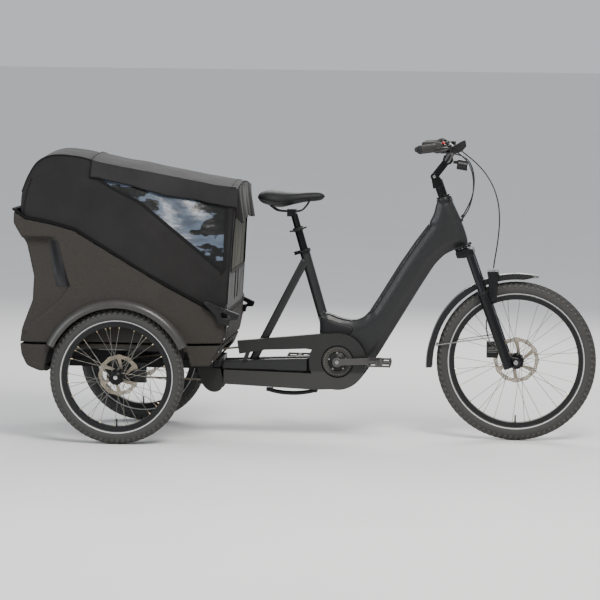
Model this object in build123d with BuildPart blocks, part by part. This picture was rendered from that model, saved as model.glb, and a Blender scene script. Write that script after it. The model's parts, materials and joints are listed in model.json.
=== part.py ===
"""Leaning cargo tricycle: a step-through front frame tilts on a two-wheeled rear module with a covered box.

Points are given as distance ahead of the rear axle, distance to the left of the middle, and height above
the ground. The row frame's origin is on the ground, halfway between the rearmost and foremost points.
"""

from build123d import *
import os
from math import asin, cos, degrees, radians, sin

os.makedirs("parts", exist_ok=True)

# ---- driving dimensions, mm ----
WHEELBASE = 1526
FRONT_RADIUS = 313
REAR_RADIUS = 261
TRACK = 770
REAR_OVERHANG = 415

FRONT_TYRE_WIDTH = 60
REAR_TYRE_WIDTH = 57
TYRE_WALL = 4
RIM_WIDTH = 36
RIM_DEPTH = 18
RIM_WALL = 4
BEAD_DROP = 22
SPOKES_PER_SIDE = 16
SPOKE_RADIUS = 1.0

FRONT_ROTOR_RADIUS = 90
REAR_ROTOR_RADIUS = 80
FRONT_ROTOR_Y = 38
REAR_ROTOR_Y = 335
ROTOR_THICKNESS = 2
HALF_SHAFT_RADIUS = 12
RUNNING_CLEARANCE = 0.05
FIT_GAP = 0.2

HEAD_ANGLE = 70
HEAD_TOP = (1231, 949)
HEAD_LENGTH = 205
LEG_OFFSET = 26
LEG_Y = 65
STANCHION_RADIUS = 16
LOWER_LEG_RADIUS = 20

SEAT_ANGLE = 73.4
SEAT_TOP = (684, 739)
SEAT_TUBE_RADIUS = 20
OUTER_POST_RADIUS = 16
INNER_POST_RADIUS = 13.6

CRANK_AXIS = (827, 303)
CRANK_LENGTH = 170
CRANK_TILT = 3
CHAIN_Y = -48
CHAIN_WIDTH = 8
CHAIN_HALF_HEIGHT = 5
CHAINRING_PITCH_RADIUS = 93
SPROCKET_PITCH_RADIUS = 36.6
CHAIN_SPLIT_X = 370

FRAME_WIDTH = 68
TILT_HEIGHT = 238
TILT_SHAFT_RADIUS = 30
TILT_HOUSING = (270, 368)
BEAM_START = 372
BEAM_END = 752

BOX_WALL = 8
BOX_HALF_WIDTH = 400
BOX_TOP_HALF_WIDTH = 357
BOX_FRONT_HALF_WIDTH = 300
BOX_REAR_HALF_WIDTH = 352
SEAM_HEIGHT = 385
FLOOR_HEIGHT = 360
WELL_RADIUS = 280
WELL_Y = 345
BENCH_HEIGHT = 438
BENCH_FRONT = 80
RAIL_HEIGHT = 10
RAIL_PROUD = 4
ARCH_Y = 430
ARCH_INNER_RADIUS = 266
ARCH_OUTER_RADIUS = 300
RIM_LINE = [(-411, 893), (-364, 863), (-271, 846), (-173, 820), (-76, 764), (360, 513), (416, 506)]

CANOPY_WALL = 6
CANOPY_GAP = 0.5
ROOF_HALF_WIDTH = 240
ROOF_CROWN = 18

STEM_JOINT = (1194, 1033)
BAR_CLAMP = (1246, 1100)
BAR_RADIUS = 11

OVERALL_LENGTH = REAR_OVERHANG + WHEELBASE + FRONT_RADIUS
REAR_AXLE_X = REAR_OVERHANG - OVERALL_LENGTH / 2
SIDES = (("right", -1), ("left", 1))


# ---- helpers ----
def point(x, y, z):
    """A point x ahead of the rear axle, y to the left of the middle, z above the ground."""
    return Vector(REAR_AXLE_X + x, y, z)


def side_plane(y=0.0):
    """A plane seen from the right: x forward from the rear axle, y up, extruding to the right."""
    return Plane(origin=point(0, y, 0), x_dir=(1, 0, 0), z_dir=(0, -1, 0))


def cross_plane(x, y=0.0, z=0.0):
    """A plane across the machine: x to the left, y up, extruding forward."""
    return Plane(origin=point(x, y, z), x_dir=(0, 1, 0), z_dir=(1, 0, 0))


def top_plane(z=0.0):
    """A plane seen from above: x forward from the rear axle, y to the left."""
    return Plane(origin=point(0, 0, z), x_dir=(1, 0, 0), z_dir=(0, 0, 1))


def outline(plane, points, corner=0.0):
    """A closed straight-sided outline on a plane, with rounded corners if a radius is given."""
    with BuildSketch(plane) as sketch:
        with BuildLine():
            Polyline(*points, close=True)
        make_face()
        if corner:
            fillet(sketch.vertices(), corner)
    return sketch.sketch


def slab(points, low, high, corner=0.0, mode=Mode.ADD):
    """Adds a side outline as a slab between two distances to the left of the middle."""
    extrude(outline(side_plane(high), points, corner), amount=high - low, mode=mode)


def block(x, y, z, mode=Mode.ADD):
    """Adds a block between two values of each coordinate."""
    corners = [(x[0], z[0]), (x[1], z[0]), (x[1], z[1]), (x[0], z[1])]
    slab(corners, y[0], y[1], mode=mode)


def disc(x, z, radius, low, high, mode=Mode.ADD):
    """Adds a disc about a cross axis, between two distances to the left of the middle."""
    with BuildSketch(side_plane(high)) as sketch:
        with Locations((x, z)):
            Circle(radius)
    extrude(sketch.sketch, amount=high - low, mode=mode)


def rod(start, end, radius, mode=Mode.ADD):
    """Adds a round bar between two points."""
    along = end - start
    with BuildSketch(Plane(origin=start, z_dir=along)) as sketch:
        Circle(radius)
    extrude(sketch.sketch, amount=along.length, mode=mode)


def bent_tube(points, radii, radius):
    """Adds a round tube along straight runs joined by arcs."""
    with BuildLine() as route:
        FilletPolyline(*points, radius=radii)
    with BuildSketch(Plane(origin=points[0], z_dir=points[1] - points[0])) as sketch:
        Circle(radius)
    sweep(sketch.sketch, path=route.wires()[0])


def bend_radii(points):
    """The largest arc that each corner of a route leaves room for."""
    radii = []
    for before, corner, after in zip(points, points[1:], points[2:]):
        run_in = corner - before
        run_out = after - corner
        half_turn = radians(run_in.get_angle(run_out)) / 2
        radii.append(0.45 * min(run_in.length, run_out.length) * cos(half_turn) / sin(half_turn))
    return radii


def write(piece, label):
    """Names a finished piece and writes its file."""
    piece.part.label = label
    export_step(piece.part, f"parts/{label}.step")


# ---- axes of the leaning parts ----
STEER_DOWN = Vector(cos(radians(HEAD_ANGLE)), 0, -sin(radians(HEAD_ANGLE)))
STEER_AHEAD = Vector(sin(radians(HEAD_ANGLE)), 0, cos(radians(HEAD_ANGLE)))
SEAT_UP = Vector(-cos(radians(SEAT_ANGLE)), 0, sin(radians(SEAT_ANGLE)))


def steer_point(down, ahead=0.0, y=0.0):
    """A point measured down the steering axis from the head's top, and ahead of that axis."""
    return point(HEAD_TOP[0], y, HEAD_TOP[1]) + STEER_DOWN * down + STEER_AHEAD * ahead


def seat_point(up, y=0.0):
    """A point measured up the seat tube's axis from its top."""
    return point(SEAT_TOP[0], y, SEAT_TOP[1]) + SEAT_UP * up


def flat(vector):
    """A row-frame point as side outline coordinates."""
    return (vector.X - REAR_AXLE_X, vector.Z)


# ---- wheels ----
def build_tyre(label, x, y, radius, width):
    half = width / 2
    edge = rim_edge(radius, width)
    with BuildPart() as tyre:
        with BuildSketch(cross_plane(x, y, radius)):
            with Locations((0, radius - half)):
                Circle(half)
                Circle(half - TYRE_WALL, mode=Mode.SUBTRACT)
            with Locations((0, edge - half)):
                Rectangle(width, width, mode=Mode.SUBTRACT)
        revolve(axis=Axis(point(x, y, radius), (0, 1, 0)))
    write(tyre, label)


def rim_edge(radius, width):
    """Radius at which a tyre's beads meet its rim."""
    return radius - width / 2 - BEAD_DROP


def build_rim(label, x, y, radius, width):
    edge = rim_edge(radius, width) - FIT_GAP
    channel = RIM_DEPTH - RIM_WALL
    with BuildPart() as rim:
        with BuildSketch(cross_plane(x, y, radius)):
            with Locations((0, edge - RIM_DEPTH / 2)):
                Rectangle(RIM_WIDTH, RIM_DEPTH)
            with Locations((0, edge - channel / 2)):
                Rectangle(RIM_WIDTH - 2 * RIM_WALL, channel, mode=Mode.SUBTRACT)
        revolve(axis=Axis(point(x, y, radius), (0, 1, 0)))
    write(rim, label)


def build_spokes(label, x, y, radius, width, flange_y, flange_radius):
    """Crossed spokes, alternately leading and trailing, from both hub flanges to the rim."""
    rim_radius = rim_edge(radius, width) - RIM_DEPTH + 1
    step = 360 / SPOKES_PER_SIDE
    with BuildPart() as spokes:
        for side in (-1, 1):
            for i in range(SPOKES_PER_SIDE):
                lead = 1 if i % 2 else -1
                hub_angle = radians(i * step + side * step / 4)
                rim_angle = hub_angle + lead * radians(42)
                start = point(
                    x + flange_radius * cos(hub_angle),
                    y + side * flange_y + lead * 3.2,
                    radius + flange_radius * sin(hub_angle),
                )
                end = point(
                    x + rim_radius * cos(rim_angle),
                    y + side * 4,
                    radius + rim_radius * sin(rim_angle),
                )
                rod(start, end, SPOKE_RADIUS)
    write(spokes, label)


def add_rotor(x, y, z, radius, bore):
    """Adds a brake disc: a braking band on six arms round a centre ring."""
    low = y - ROTOR_THICKNESS / 2
    high = y + ROTOR_THICKNESS / 2
    with BuildSketch(side_plane(high)) as sketch:
        with Locations((x, z)):
            Circle(radius)
            Circle(radius - 16, mode=Mode.SUBTRACT)
            Circle(bore + 12)
            with PolarLocations(radius / 2, 6):
                Rectangle(radius - 20, 8)
            Circle(bore, mode=Mode.SUBTRACT)
    extrude(sketch.sketch, amount=high - low)


build_tyre("front_tyre", WHEELBASE, 0, FRONT_RADIUS, FRONT_TYRE_WIDTH)
build_rim("front_rim", WHEELBASE, 0, FRONT_RADIUS, FRONT_TYRE_WIDTH)
build_spokes("front_spokes", WHEELBASE, 0, FRONT_RADIUS, FRONT_TYRE_WIDTH, 24, 26)

FRONT_AXLE_RADIUS = 7.5
FRONT_HUB_HALF = 49.5
with BuildPart() as front_hub:
    disc(WHEELBASE, FRONT_RADIUS, 16, -FRONT_HUB_HALF, FRONT_HUB_HALF)
    for flange_y in (-24, 24):
        disc(WHEELBASE, FRONT_RADIUS, 30, flange_y - 2, flange_y + 2)
    disc(WHEELBASE, FRONT_RADIUS, 28, 30, FRONT_ROTOR_Y - 1)
    hub_bore = FRONT_AXLE_RADIUS + RUNNING_CLEARANCE
    disc(WHEELBASE, FRONT_RADIUS, hub_bore, -FRONT_HUB_HALF, FRONT_HUB_HALF, mode=Mode.SUBTRACT)
write(front_hub, "front_hub")

with BuildPart() as front_rotor:
    add_rotor(WHEELBASE, FRONT_ROTOR_Y, FRONT_RADIUS, FRONT_ROTOR_RADIUS, 16 + FIT_GAP)
write(front_rotor, "front_rotor")

for name, side in SIDES:
    wheel_y = side * TRACK / 2
    build_tyre(f"{name}_rear_tyre", 0, wheel_y, REAR_RADIUS, REAR_TYRE_WIDTH)
    build_rim(f"{name}_rear_rim", 0, wheel_y, REAR_RADIUS, REAR_TYRE_WIDTH)
    build_spokes(f"{name}_rear_spokes", 0, wheel_y, REAR_RADIUS, REAR_TYRE_WIDTH, 24, 26)
    with BuildPart() as rear_hub:
        spans = [(62, 429, HALF_SHAFT_RADIUS), (330, 418, 20), (336.2, 344, 28)]
        spans += [(wheel_y * side + flange - 2, wheel_y * side + flange + 2, 30) for flange in (-24, 24)]
        spans += [(424, 429, 17)]
        for near, far, radius in spans:
            disc(0, REAR_RADIUS, radius, min(side * near, side * far), max(side * near, side * far))
        add_rotor(0, side * REAR_ROTOR_Y, REAR_RADIUS, REAR_ROTOR_RADIUS, 20 + FIT_GAP)
    write(rear_hub, f"{name}_rear_hub")


# ---- rear chassis ----
CARRIER_Y = (300, 322)
RAIL_Y = 150
RAIL_Z = (276, 308)
with BuildPart() as rear_chassis:
    for _, side in SIDES:
        rail_span = sorted((side * (RAIL_Y - 20), side * (RAIL_Y + 20)))
        block((-330, 345), rail_span, RAIL_Z)
        carrier_span = sorted((side * CARRIER_Y[0], side * CARRIER_Y[1]))
        block((-50, 104), carrier_span, (232, 308))
        for post_x in (-310, 200):
            block((post_x, post_x + 30), rail_span, (RAIL_Z[1], FLOOR_HEIGHT))
    for cross_x in (-290, -58, 60):
        rod(point(cross_x, -CARRIER_Y[0], 280), point(cross_x, CARRIER_Y[0], 280), 12)
    block(TILT_HOUSING, (-RAIL_Y, RAIL_Y), (280, 308))
    block((-24, 24), (-36, RAIL_Y), (303, 308))
    for _, side in SIDES:
        bore_span = sorted((side * (CARRIER_Y[0] - 1), side * (CARRIER_Y[1] + 1)))
        bore = HALF_SHAFT_RADIUS + RUNNING_CLEARANCE
        disc(0, REAR_RADIUS, bore, bore_span[0], bore_span[1], mode=Mode.SUBTRACT)
write(rear_chassis, "rear_chassis")

with BuildPart() as tilt_housing:
    with BuildSketch(cross_plane(TILT_HOUSING[0], 0, TILT_HEIGHT)):
        Circle(42)
        with Locations((0, 34)):
            Rectangle(84, 16)
    extrude(amount=TILT_HOUSING[1] - TILT_HOUSING[0])
    slab([(288, 235), (362, 235), (356, 208), (340, 172), (316, 172), (298, 200)], -15, 15, 8)
    rod(point(352, -30, 214), point(352, 30, 214), 11)
    with BuildSketch(cross_plane(TILT_HOUSING[0] - 1, 0, TILT_HEIGHT)) as tilt_bore:
        Circle(TILT_SHAFT_RADIUS + RUNNING_CLEARANCE)
    extrude(tilt_bore.sketch, amount=TILT_HOUSING[1] - TILT_HOUSING[0] + 2, mode=Mode.SUBTRACT)
write(tilt_housing, "tilt_housing")

with BuildPart() as differential_housing:
    disc(0, REAR_RADIUS, 40, -36, 56)
    disc(0, REAR_RADIUS, 24, 56, 70)
    block((-20, 20), (-30, 50), (REAR_RADIUS, 303))
    disc(0, REAR_RADIUS, HALF_SHAFT_RADIUS + 1, -37, 71, mode=Mode.SUBTRACT)
write(differential_housing, "differential_housing")

with BuildPart() as rear_calipers:
    for _, side in SIDES:
        span = sorted((side * (CARRIER_Y[1] + 0.2), side * 350))
        block((58, 104), span, (238, 284))
        slot_low = min(side * (REAR_ROTOR_Y - 2), side * (REAR_ROTOR_Y + 2))
        disc(0, REAR_RADIUS, REAR_ROTOR_RADIUS + 3, slot_low, slot_low + 4, mode=Mode.SUBTRACT)
        disc(0, REAR_RADIUS, 60, span[0] - 1, span[1] + 1, mode=Mode.SUBTRACT)
write(rear_calipers, "rear_calipers")


# ---- drive chain ----
def chain_loop(radius_change):
    """Side outline of the chain's run round the chainring and the rear sprocket, wider by a change of radius."""
    ring = CHAINRING_PITCH_RADIUS + radius_change
    cog = SPROCKET_PITCH_RADIUS + radius_change
    drop = CRANK_AXIS[1] - REAR_RADIUS
    length = (CRANK_AXIS[0] ** 2 + drop**2) ** 0.5
    lift = degrees(asin(drop / length))
    spread = degrees(asin((ring - cog) / length))
    corners = []
    for centre, radius in (((0, REAR_RADIUS), cog), (CRANK_AXIS, ring)):
        for sign in (1, -1):
            angle = radians(lift + sign * (90 + spread))
            corners.append((centre[0] + radius * cos(angle), centre[1] + radius * sin(angle)))
    top_cog, low_cog, top_ring, low_ring = corners
    with BuildSketch(side_plane(CHAIN_Y + CHAIN_WIDTH / 2)) as loop:
        with Locations((0, REAR_RADIUS)):
            Circle(cog)
        with Locations(CRANK_AXIS):
            Circle(ring)
        with BuildLine():
            Polyline(top_cog, top_ring, low_ring, low_cog, close=True)
        make_face()
    return loop.sketch


for label, keep in (("chain_rear", (-100, CHAIN_SPLIT_X - 2)), ("chain_front", (CHAIN_SPLIT_X + 2, 1000))):
    with BuildPart() as chain:
        extrude(chain_loop(CHAIN_HALF_HEIGHT), amount=CHAIN_WIDTH)
        extrude(chain_loop(-CHAIN_HALF_HEIGHT), amount=CHAIN_WIDTH, mode=Mode.SUBTRACT)
        block(keep, (-100, 0), (0, 500), mode=Mode.INTERSECT)
    write(chain, label)

TOOTH_GAP = 0.7
with BuildPart() as rear_sprocket:
    disc(0, REAR_RADIUS, SPROCKET_PITCH_RADIUS - CHAIN_HALF_HEIGHT - TOOTH_GAP, CHAIN_Y - 1.5, CHAIN_Y + 1.5)
    disc(0, REAR_RADIUS, 19, CHAIN_Y - 9, CHAIN_Y + 10)
    disc(0, REAR_RADIUS, HALF_SHAFT_RADIUS + 1, -70, -30, mode=Mode.SUBTRACT)
write(rear_sprocket, "rear_sprocket")


# ---- cargo box ----
REAR_FACE = [(-411, 845), (-362, 765), (-329, 640), (-331, 552), (-373, 440), (-378, 385)]
BASE_REAR = [(-381, 384), (-375, 340), (-352, 298), (-300, 278)]
BASE_FRONT = [(285, 280), (340, 292), (380, 336), (400, 384)]
FRONT_FACE = [(400, 385), (410, 425), (416, 506)]
RECESS = [(-440, 778), (-290, 789), (-236, 778), (-186, 604), (-222, 556), (-345, 455), (-440, 455)]
RECESS_DEPTH = 18


def box_form(inset, lift=0.0):
    """The box's outer form as a block, drawn in by inset and with its rim raised by lift."""
    rim = [(x, z + lift + inset) for x, z in RIM_LINE]
    side = rim + FRONT_FACE[1::-1] + BASE_FRONT[::-1] + BASE_REAR[::-1] + REAR_FACE[4::-1]
    half = BOX_HALF_WIDTH - inset
    top = BOX_TOP_HALF_WIDTH - inset
    section = [(-half, 200), (half, 200), (half, 560), (top, 893), (top, 1000), (-top, 1000), (-top, 893), (-half, 560)]
    rear = BOX_REAR_HALF_WIDTH
    nose = BOX_FRONT_HALF_WIDTH
    plan = [(-425, -rear), (-330, -BOX_HALF_WIDTH), (150, -BOX_HALF_WIDTH), (424, -nose)]
    plan += [(x, -y) for x, y in plan[::-1]]
    with BuildPart() as form:
        with BuildSketch(side_plane()) as side_view:
            with BuildLine():
                Polyline(*side, close=True)
            make_face()
            if inset:
                offset(amount=-inset)
        extrude(amount=2 * BOX_HALF_WIDTH, both=True)
        extrude(outline(cross_plane(-500), section), amount=1000, mode=Mode.INTERSECT)
        with BuildSketch(top_plane(100)) as plan_view:
            with BuildLine():
                Polyline(*plan, close=True)
            make_face()
            if inset:
                offset(amount=-inset)
        extrude(amount=1000, mode=Mode.INTERSECT)
    return form.part


def cabin_form():
    """The box's inside above the floor, narrower behind the recessed rear corners."""
    grown = RECESS_DEPTH + BOX_WALL
    with BuildPart() as cabin:
        add(box_form(BOX_WALL, 60))
        block((-500, 500), (-500, 500), (0, FLOOR_HEIGHT + BOX_WALL), mode=Mode.SUBTRACT)
        for _, side in SIDES:
            span = sorted((side * (BOX_HALF_WIDTH - grown), side * 500))
            with BuildSketch(side_plane(span[1])) as corner:
                with BuildLine():
                    Polyline(*RECESS, close=True)
                make_face()
                offset(amount=BOX_WALL)
            extrude(amount=span[1] - span[0], mode=Mode.SUBTRACT)
    return cabin.part


def add_wheel_wells(low, high):
    """Adds both wheel housings between two heights, and opens them from outside."""
    for _, side in SIDES:
        span = sorted((side * (WELL_Y - BOX_WALL), side * (BOX_HALF_WIDTH - 1)))
        with BuildSketch(side_plane(span[1])) as well:
            with Locations((0, REAR_RADIUS)):
                Circle(WELL_RADIUS + BOX_WALL)
            with Locations((0, (low + high) / 2)):
                Rectangle(700, high - low, mode=Mode.INTERSECT)
        extrude(well.sketch, amount=span[1] - span[0])
    for _, side in SIDES:
        span = sorted((side * WELL_Y, side * 500))
        disc(0, REAR_RADIUS, WELL_RADIUS, span[0], span[1], mode=Mode.SUBTRACT)


with BuildPart() as box_shell:
    add(box_form(0))
    for _, side in SIDES:
        span = sorted((side * (BOX_HALF_WIDTH - RECESS_DEPTH), side * 500))
        slab(RECESS, span[0], span[1], mode=Mode.SUBTRACT)
    add(cabin_form(), mode=Mode.SUBTRACT)
    block((-370, BENCH_FRONT), (-395, 395), (BENCH_HEIGHT - BOX_WALL, BENCH_HEIGHT))
    block((BENCH_FRONT - BOX_WALL, BENCH_FRONT), (-340, 340), (SEAM_HEIGHT, BENCH_HEIGHT))
    add_wheel_wells(SEAM_HEIGHT + 1, 700)
    block((-500, 500), (-500, 500), (0, SEAM_HEIGHT + 1), mode=Mode.SUBTRACT)
write(box_shell, "box_shell")

TUNNEL_HALF_WIDTH = 190
with BuildPart() as box_base:
    add(box_form(0))
    block((-500, 500), (-500, 500), (SEAM_HEIGHT - 1, 1000), mode=Mode.SUBTRACT)
    add(cabin_form(), mode=Mode.SUBTRACT)
    with BuildPart(mode=Mode.PRIVATE) as underside:
        add(box_form(BOX_WALL))
        block((-500, 500), (-500, 500), (FLOOR_HEIGHT, 1000), mode=Mode.SUBTRACT)
    add(underside.part, mode=Mode.SUBTRACT)
    block((-375, 375), (-380, 380), (200, 300), mode=Mode.SUBTRACT)
    block((0, 500), (-TUNNEL_HALF_WIDTH, TUNNEL_HALF_WIDTH), (200, FLOOR_HEIGHT), mode=Mode.SUBTRACT)
    add_wheel_wells(FLOOR_HEIGHT, SEAM_HEIGHT - 1)
write(box_base, "box_base")


def rim_height(x):
    """Height of the box's rim at a distance ahead of the rear axle."""
    for (x0, z0), (x1, z1) in zip(RIM_LINE, RIM_LINE[1:]):
        if x <= x1:
            return z0 + (z1 - z0) * (x - x0) / (x1 - x0)
    return RIM_LINE[-1][1]


with BuildPart() as rim_rail:
    add(box_form(-RAIL_PROUD, 40))
    low_edge = [(-430, RIM_LINE[0][1])] + RIM_LINE + [(430, RIM_LINE[-1][1])]
    high_edge = [(x, z + RAIL_HEIGHT) for x, z in low_edge[::-1]]
    slab(low_edge + high_edge, -500, 500, mode=Mode.INTERSECT)
    add(cabin_form(), mode=Mode.SUBTRACT)
write(rim_rail, "rim_rail")

with BuildPart() as wheel_arches:
    for _, side in SIDES:
        inner = BOX_HALF_WIDTH + FIT_GAP
        with BuildSketch(cross_plane(0, 0, REAR_RADIUS)) as arch:
            with Locations((side * (ARCH_Y - 4), (ARCH_INNER_RADIUS + ARCH_OUTER_RADIUS) / 2)):
                Rectangle(8, ARCH_OUTER_RADIUS - ARCH_INNER_RADIUS)
            with Locations((side * (inner + ARCH_Y) / 2, ARCH_OUTER_RADIUS - 4)):
                Rectangle(ARCH_Y - inner, 8)
        revolve(arch.sketch, axis=Axis(point(0, 0, REAR_RADIUS), (0, 1, 0)))
    block((-500, 500), (-500, 500), (-100, SEAM_HEIGHT), mode=Mode.SUBTRACT)
    fillet(wheel_arches.edges().filter_by(GeomType.CIRCLE).group_by(SortBy.RADIUS)[-1], 5)
write(wheel_arches, "wheel_arches")

HANDLE = [(325, 549), (343, 556), (395, 530), (463, 502), (456, 482), (428, 480), (424, 456), (386, 470), (372, 500)]
HANDLE_SLOT = [(392, 512), (440, 492), (412, 488), (396, 492)]
with BuildPart() as side_handles:
    for _, side in SIDES:
        span = sorted((side * 250, side * 420))
        slab(HANDLE, span[0], span[1], 5)
    slab(HANDLE_SLOT, -450, 450, 3, mode=Mode.SUBTRACT)
    strips = []
    for _, side in SIDES:
        strip = [(320, side * 342.6), (475, side * 286.2), (475, side * 308), (320, side * 364.4)]
        strips.append(outline(top_plane(400), strip))
    extrude(strips[0] + strips[1], amount=300, mode=Mode.INTERSECT)
write(side_handles, "side_handles")

CUSHION_HALF_WIDTH = 318
with BuildPart() as seat_cushions:
    bench = [(-252, BENCH_HEIGHT + 0.5), (76, BENCH_HEIGHT + 0.5), (76, 496), (-252, 490)]
    slab(bench, -CUSHION_HALF_WIDTH, CUSHION_HALF_WIDTH, 14)
    backrest = [(-256, 500), (-310, 500), (-310, 660), (-336, 786), (-290, 786)]
    slab(backrest, -CUSHION_HALF_WIDTH, CUSHION_HALF_WIDTH, 14)
write(seat_cushions, "seat_cushions")

# ---- canopy ----
# Each station: distance ahead of the rear axle, half width at the rim, half width and height at the roof seam.
CANOPY_STATIONS = [
    (-384, 340, 318, 962),
    (-364, 348, 285, 1024),
    (-330, 352, 262, 1078),
    (-271, 353, 247, 1102),
    (-173, 357, ROOF_HALF_WIDTH, 1096),
    (-76, 364, ROOF_HALF_WIDTH, 1072),
    (150, 381, ROOF_HALF_WIDTH, 1032),
    (360, 311, ROOF_HALF_WIDTH, 994),
    (412, 291, ROOF_HALF_WIDTH, 985),
]
CANOPY_FRONT_LEAN = 26
SIDE_BULGE = 12


def canopy_station(x, rim_half, seam_half, seam_z, inset, rim_drop, lean=0.0):
    """One cross section of the hood, drawn in by inset, its lower edge on the rim or below by rim_drop."""
    low = rim_height(x) + RAIL_HEIGHT + CANOPY_GAP - rim_drop
    high = seam_z - inset
    middle = (low + high) / 2
    middle_half = (rim_half + seam_half) / 2 + SIDE_BULGE
    right = [(rim_half, low), (middle_half, middle), (seam_half, high)]
    right = [(half - inset, z) for half, z in right]
    left = [(-half, z) for half, z in right[::-1]]
    tall = Vector(lean, 0, high - low)
    base = point(x, 0, low)
    plane = Plane(origin=base, x_dir=(0, 1, 0), z_dir=Vector(0, 1, 0).cross(tall))
    points = right + [(0, high + ROOF_CROWN)] + left
    return outline(plane, [(y, z - low) for y, z in points])


def canopy_form(inset, rim_drop):
    """The hood as a block, drawn in by inset."""
    with BuildPart() as form:
        sections = []
        for i, (x, rim_half, seam_half, seam_z) in enumerate(CANOPY_STATIONS):
            first = i == 0
            last = i == len(CANOPY_STATIONS) - 1
            shift = inset if first else -inset if last else 0
            lean = CANOPY_FRONT_LEAN if last else 0
            sections.append(canopy_station(x + shift, rim_half, seam_half, seam_z, inset, rim_drop, lean))
        loft(sections, ruled=True)
    return form.part


def hood_shell():
    """The hood's fabric as a thin shell, open below."""
    with BuildPart() as shell:
        add(canopy_form(0, 0))
        add(canopy_form(CANOPY_WALL, 15), mode=Mode.SUBTRACT)
    return shell.part


SIDE_WINDOW = [(-104, 1022), (-33, 980), (73, 928), (229, 805), (366, 692), (398, 676), (404, 930), (-40, 1026)]
FRONT_WINDOW = [(-262, 664), (262, 664), (222, 930), (-222, 930)]


def add_windows(clearance, mode):
    """Adds or cuts the side and front windows' outlines through the hood, drawn in by a clearance."""
    with BuildSketch(side_plane(500)) as side_window:
        with BuildLine():
            Polyline(*SIDE_WINDOW, close=True)
        make_face()
        if clearance:
            offset(amount=-clearance)
    with BuildSketch(cross_plane(404)) as front_window:
        with BuildLine():
            Polyline(*FRONT_WINDOW, close=True)
        make_face()
        if clearance:
            offset(amount=-clearance)
    with BuildPart(mode=Mode.PRIVATE) as openings:
        extrude(side_window.sketch, amount=1000)
        block((-500, 500), (-220, 220), (0, 1500), mode=Mode.SUBTRACT)
        extrude(front_window.sketch, amount=100)
    add(openings.part, mode=mode)


VISOR = [(437, 978), (447, 978), (462, 850), (458, 850)]
with BuildPart() as canopy_cover:
    add(hood_shell())
    add_windows(0, Mode.SUBTRACT)
    slab(VISOR, -ROOF_HALF_WIDTH + 4, ROOF_HALF_WIDTH - 4)
write(canopy_cover, "canopy_cover")

with BuildPart() as canopy_windows:
    add(hood_shell())
    add_windows(0.5, Mode.INTERSECT)
write(canopy_windows, "canopy_windows")


# ---- front frame ----
COVER_EDGE = [(948, 502), (988, 565), (1065, 692), (1122, 777), (1176, 850)]
COVER_DEPTH = 10
FRAME_HEAD = [(1195, 888), (1206, 940), (1256, 958), (1297, 873), (1320, 814), (1332, 767), (1270, 745)]
FRAME_UNDERSIDE = [(1238, 728), (1202, 690), (1145, 599), (991, 340), (937, 259), (900, 212)]
FRAME_REAR = [(BEAM_END, 212), (BEAM_END, 482), (778, 492), (832, 471), (885, 462), (925, 474)]
FRAME_HOLLOWS = [
    [(780, 398), (780, 466), (828, 452), (882, 443), (916, 446), (905, 380)],
    [(900, 300), (938, 284), (1035, 440), (985, 520), (900, 400)],
    [(1176, 770), (1225, 748), (1262, 790), (1234, 880), (1208, 862)],
]
DRIVE_UNIT = [(776, 226), (890, 226), (915, 300), (895, 400), (810, 410), (772, 340)]
DRIVE_HALF_WIDTH = 29
BATTERY_START = (1010, 478)
BATTERY_LENGTH = 330
BATTERY_DEPTH = 66
BATTERY_HALF_WIDTH = 28


def moved(points, dx, dz):
    """A list of outline points moved by a distance."""
    return [(x + dx, z + dz) for x, z in points]


def battery_outline(grow):
    """The battery's side outline along the down tube, larger all round by a gap."""
    along = Vector(0.546, 0.838)
    across = Vector(0.838, -0.546)
    start = Vector(*BATTERY_START) - along * grow - across * (BATTERY_DEPTH / 2 + grow)
    length = BATTERY_LENGTH + 2 * grow
    depth = BATTERY_DEPTH + 2 * grow
    corners = [start, start + along * length, start + along * length + across * depth, start + across * depth]
    return [(corner.X, corner.Y) for corner in corners]


COVER_STEP = (COVER_DEPTH * 0.838, -COVER_DEPTH * 0.546)
with BuildPart() as main_frame:
    lowered = moved(COVER_EDGE, *COVER_STEP)
    frame_side = FRAME_REAR + [COVER_EDGE[0]] + lowered + [COVER_EDGE[-1]] + FRAME_HEAD + FRAME_UNDERSIDE
    slab(frame_side, -FRAME_WIDTH / 2, FRAME_WIDTH / 2)
    chamfer(main_frame.faces().filter_by(Axis.Y).edges(), 7)
    rod(seat_point(-310), seat_point(0), SEAT_TUBE_RADIUS)
    slab(DRIVE_UNIT, -DRIVE_HALF_WIDTH - 1, DRIVE_HALF_WIDTH + 1, mode=Mode.SUBTRACT)
    block((776, 890), (-DRIVE_HALF_WIDTH - 1, DRIVE_HALF_WIDTH + 1), (200, 230), mode=Mode.SUBTRACT)
    disc(CRANK_AXIS[0], CRANK_AXIS[1], 30, -50, 50, mode=Mode.SUBTRACT)
    slab(battery_outline(2), -BATTERY_HALF_WIDTH - 1, BATTERY_HALF_WIDTH + 1, mode=Mode.SUBTRACT)
    for hollow in FRAME_HOLLOWS:
        slab(hollow, -DRIVE_HALF_WIDTH, DRIVE_HALF_WIDTH, mode=Mode.SUBTRACT)
    rod(seat_point(-270), seat_point(1), OUTER_POST_RADIUS + RUNNING_CLEARANCE, mode=Mode.SUBTRACT)
    rod(steer_point(HEAD_LENGTH + 20), steer_point(-30), 14.25 + RUNNING_CLEARANCE, mode=Mode.SUBTRACT)
write(main_frame, "main_frame")

with BuildPart() as battery:
    slab(battery_outline(0), -BATTERY_HALF_WIDTH, BATTERY_HALF_WIDTH)
write(battery, "battery")

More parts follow.
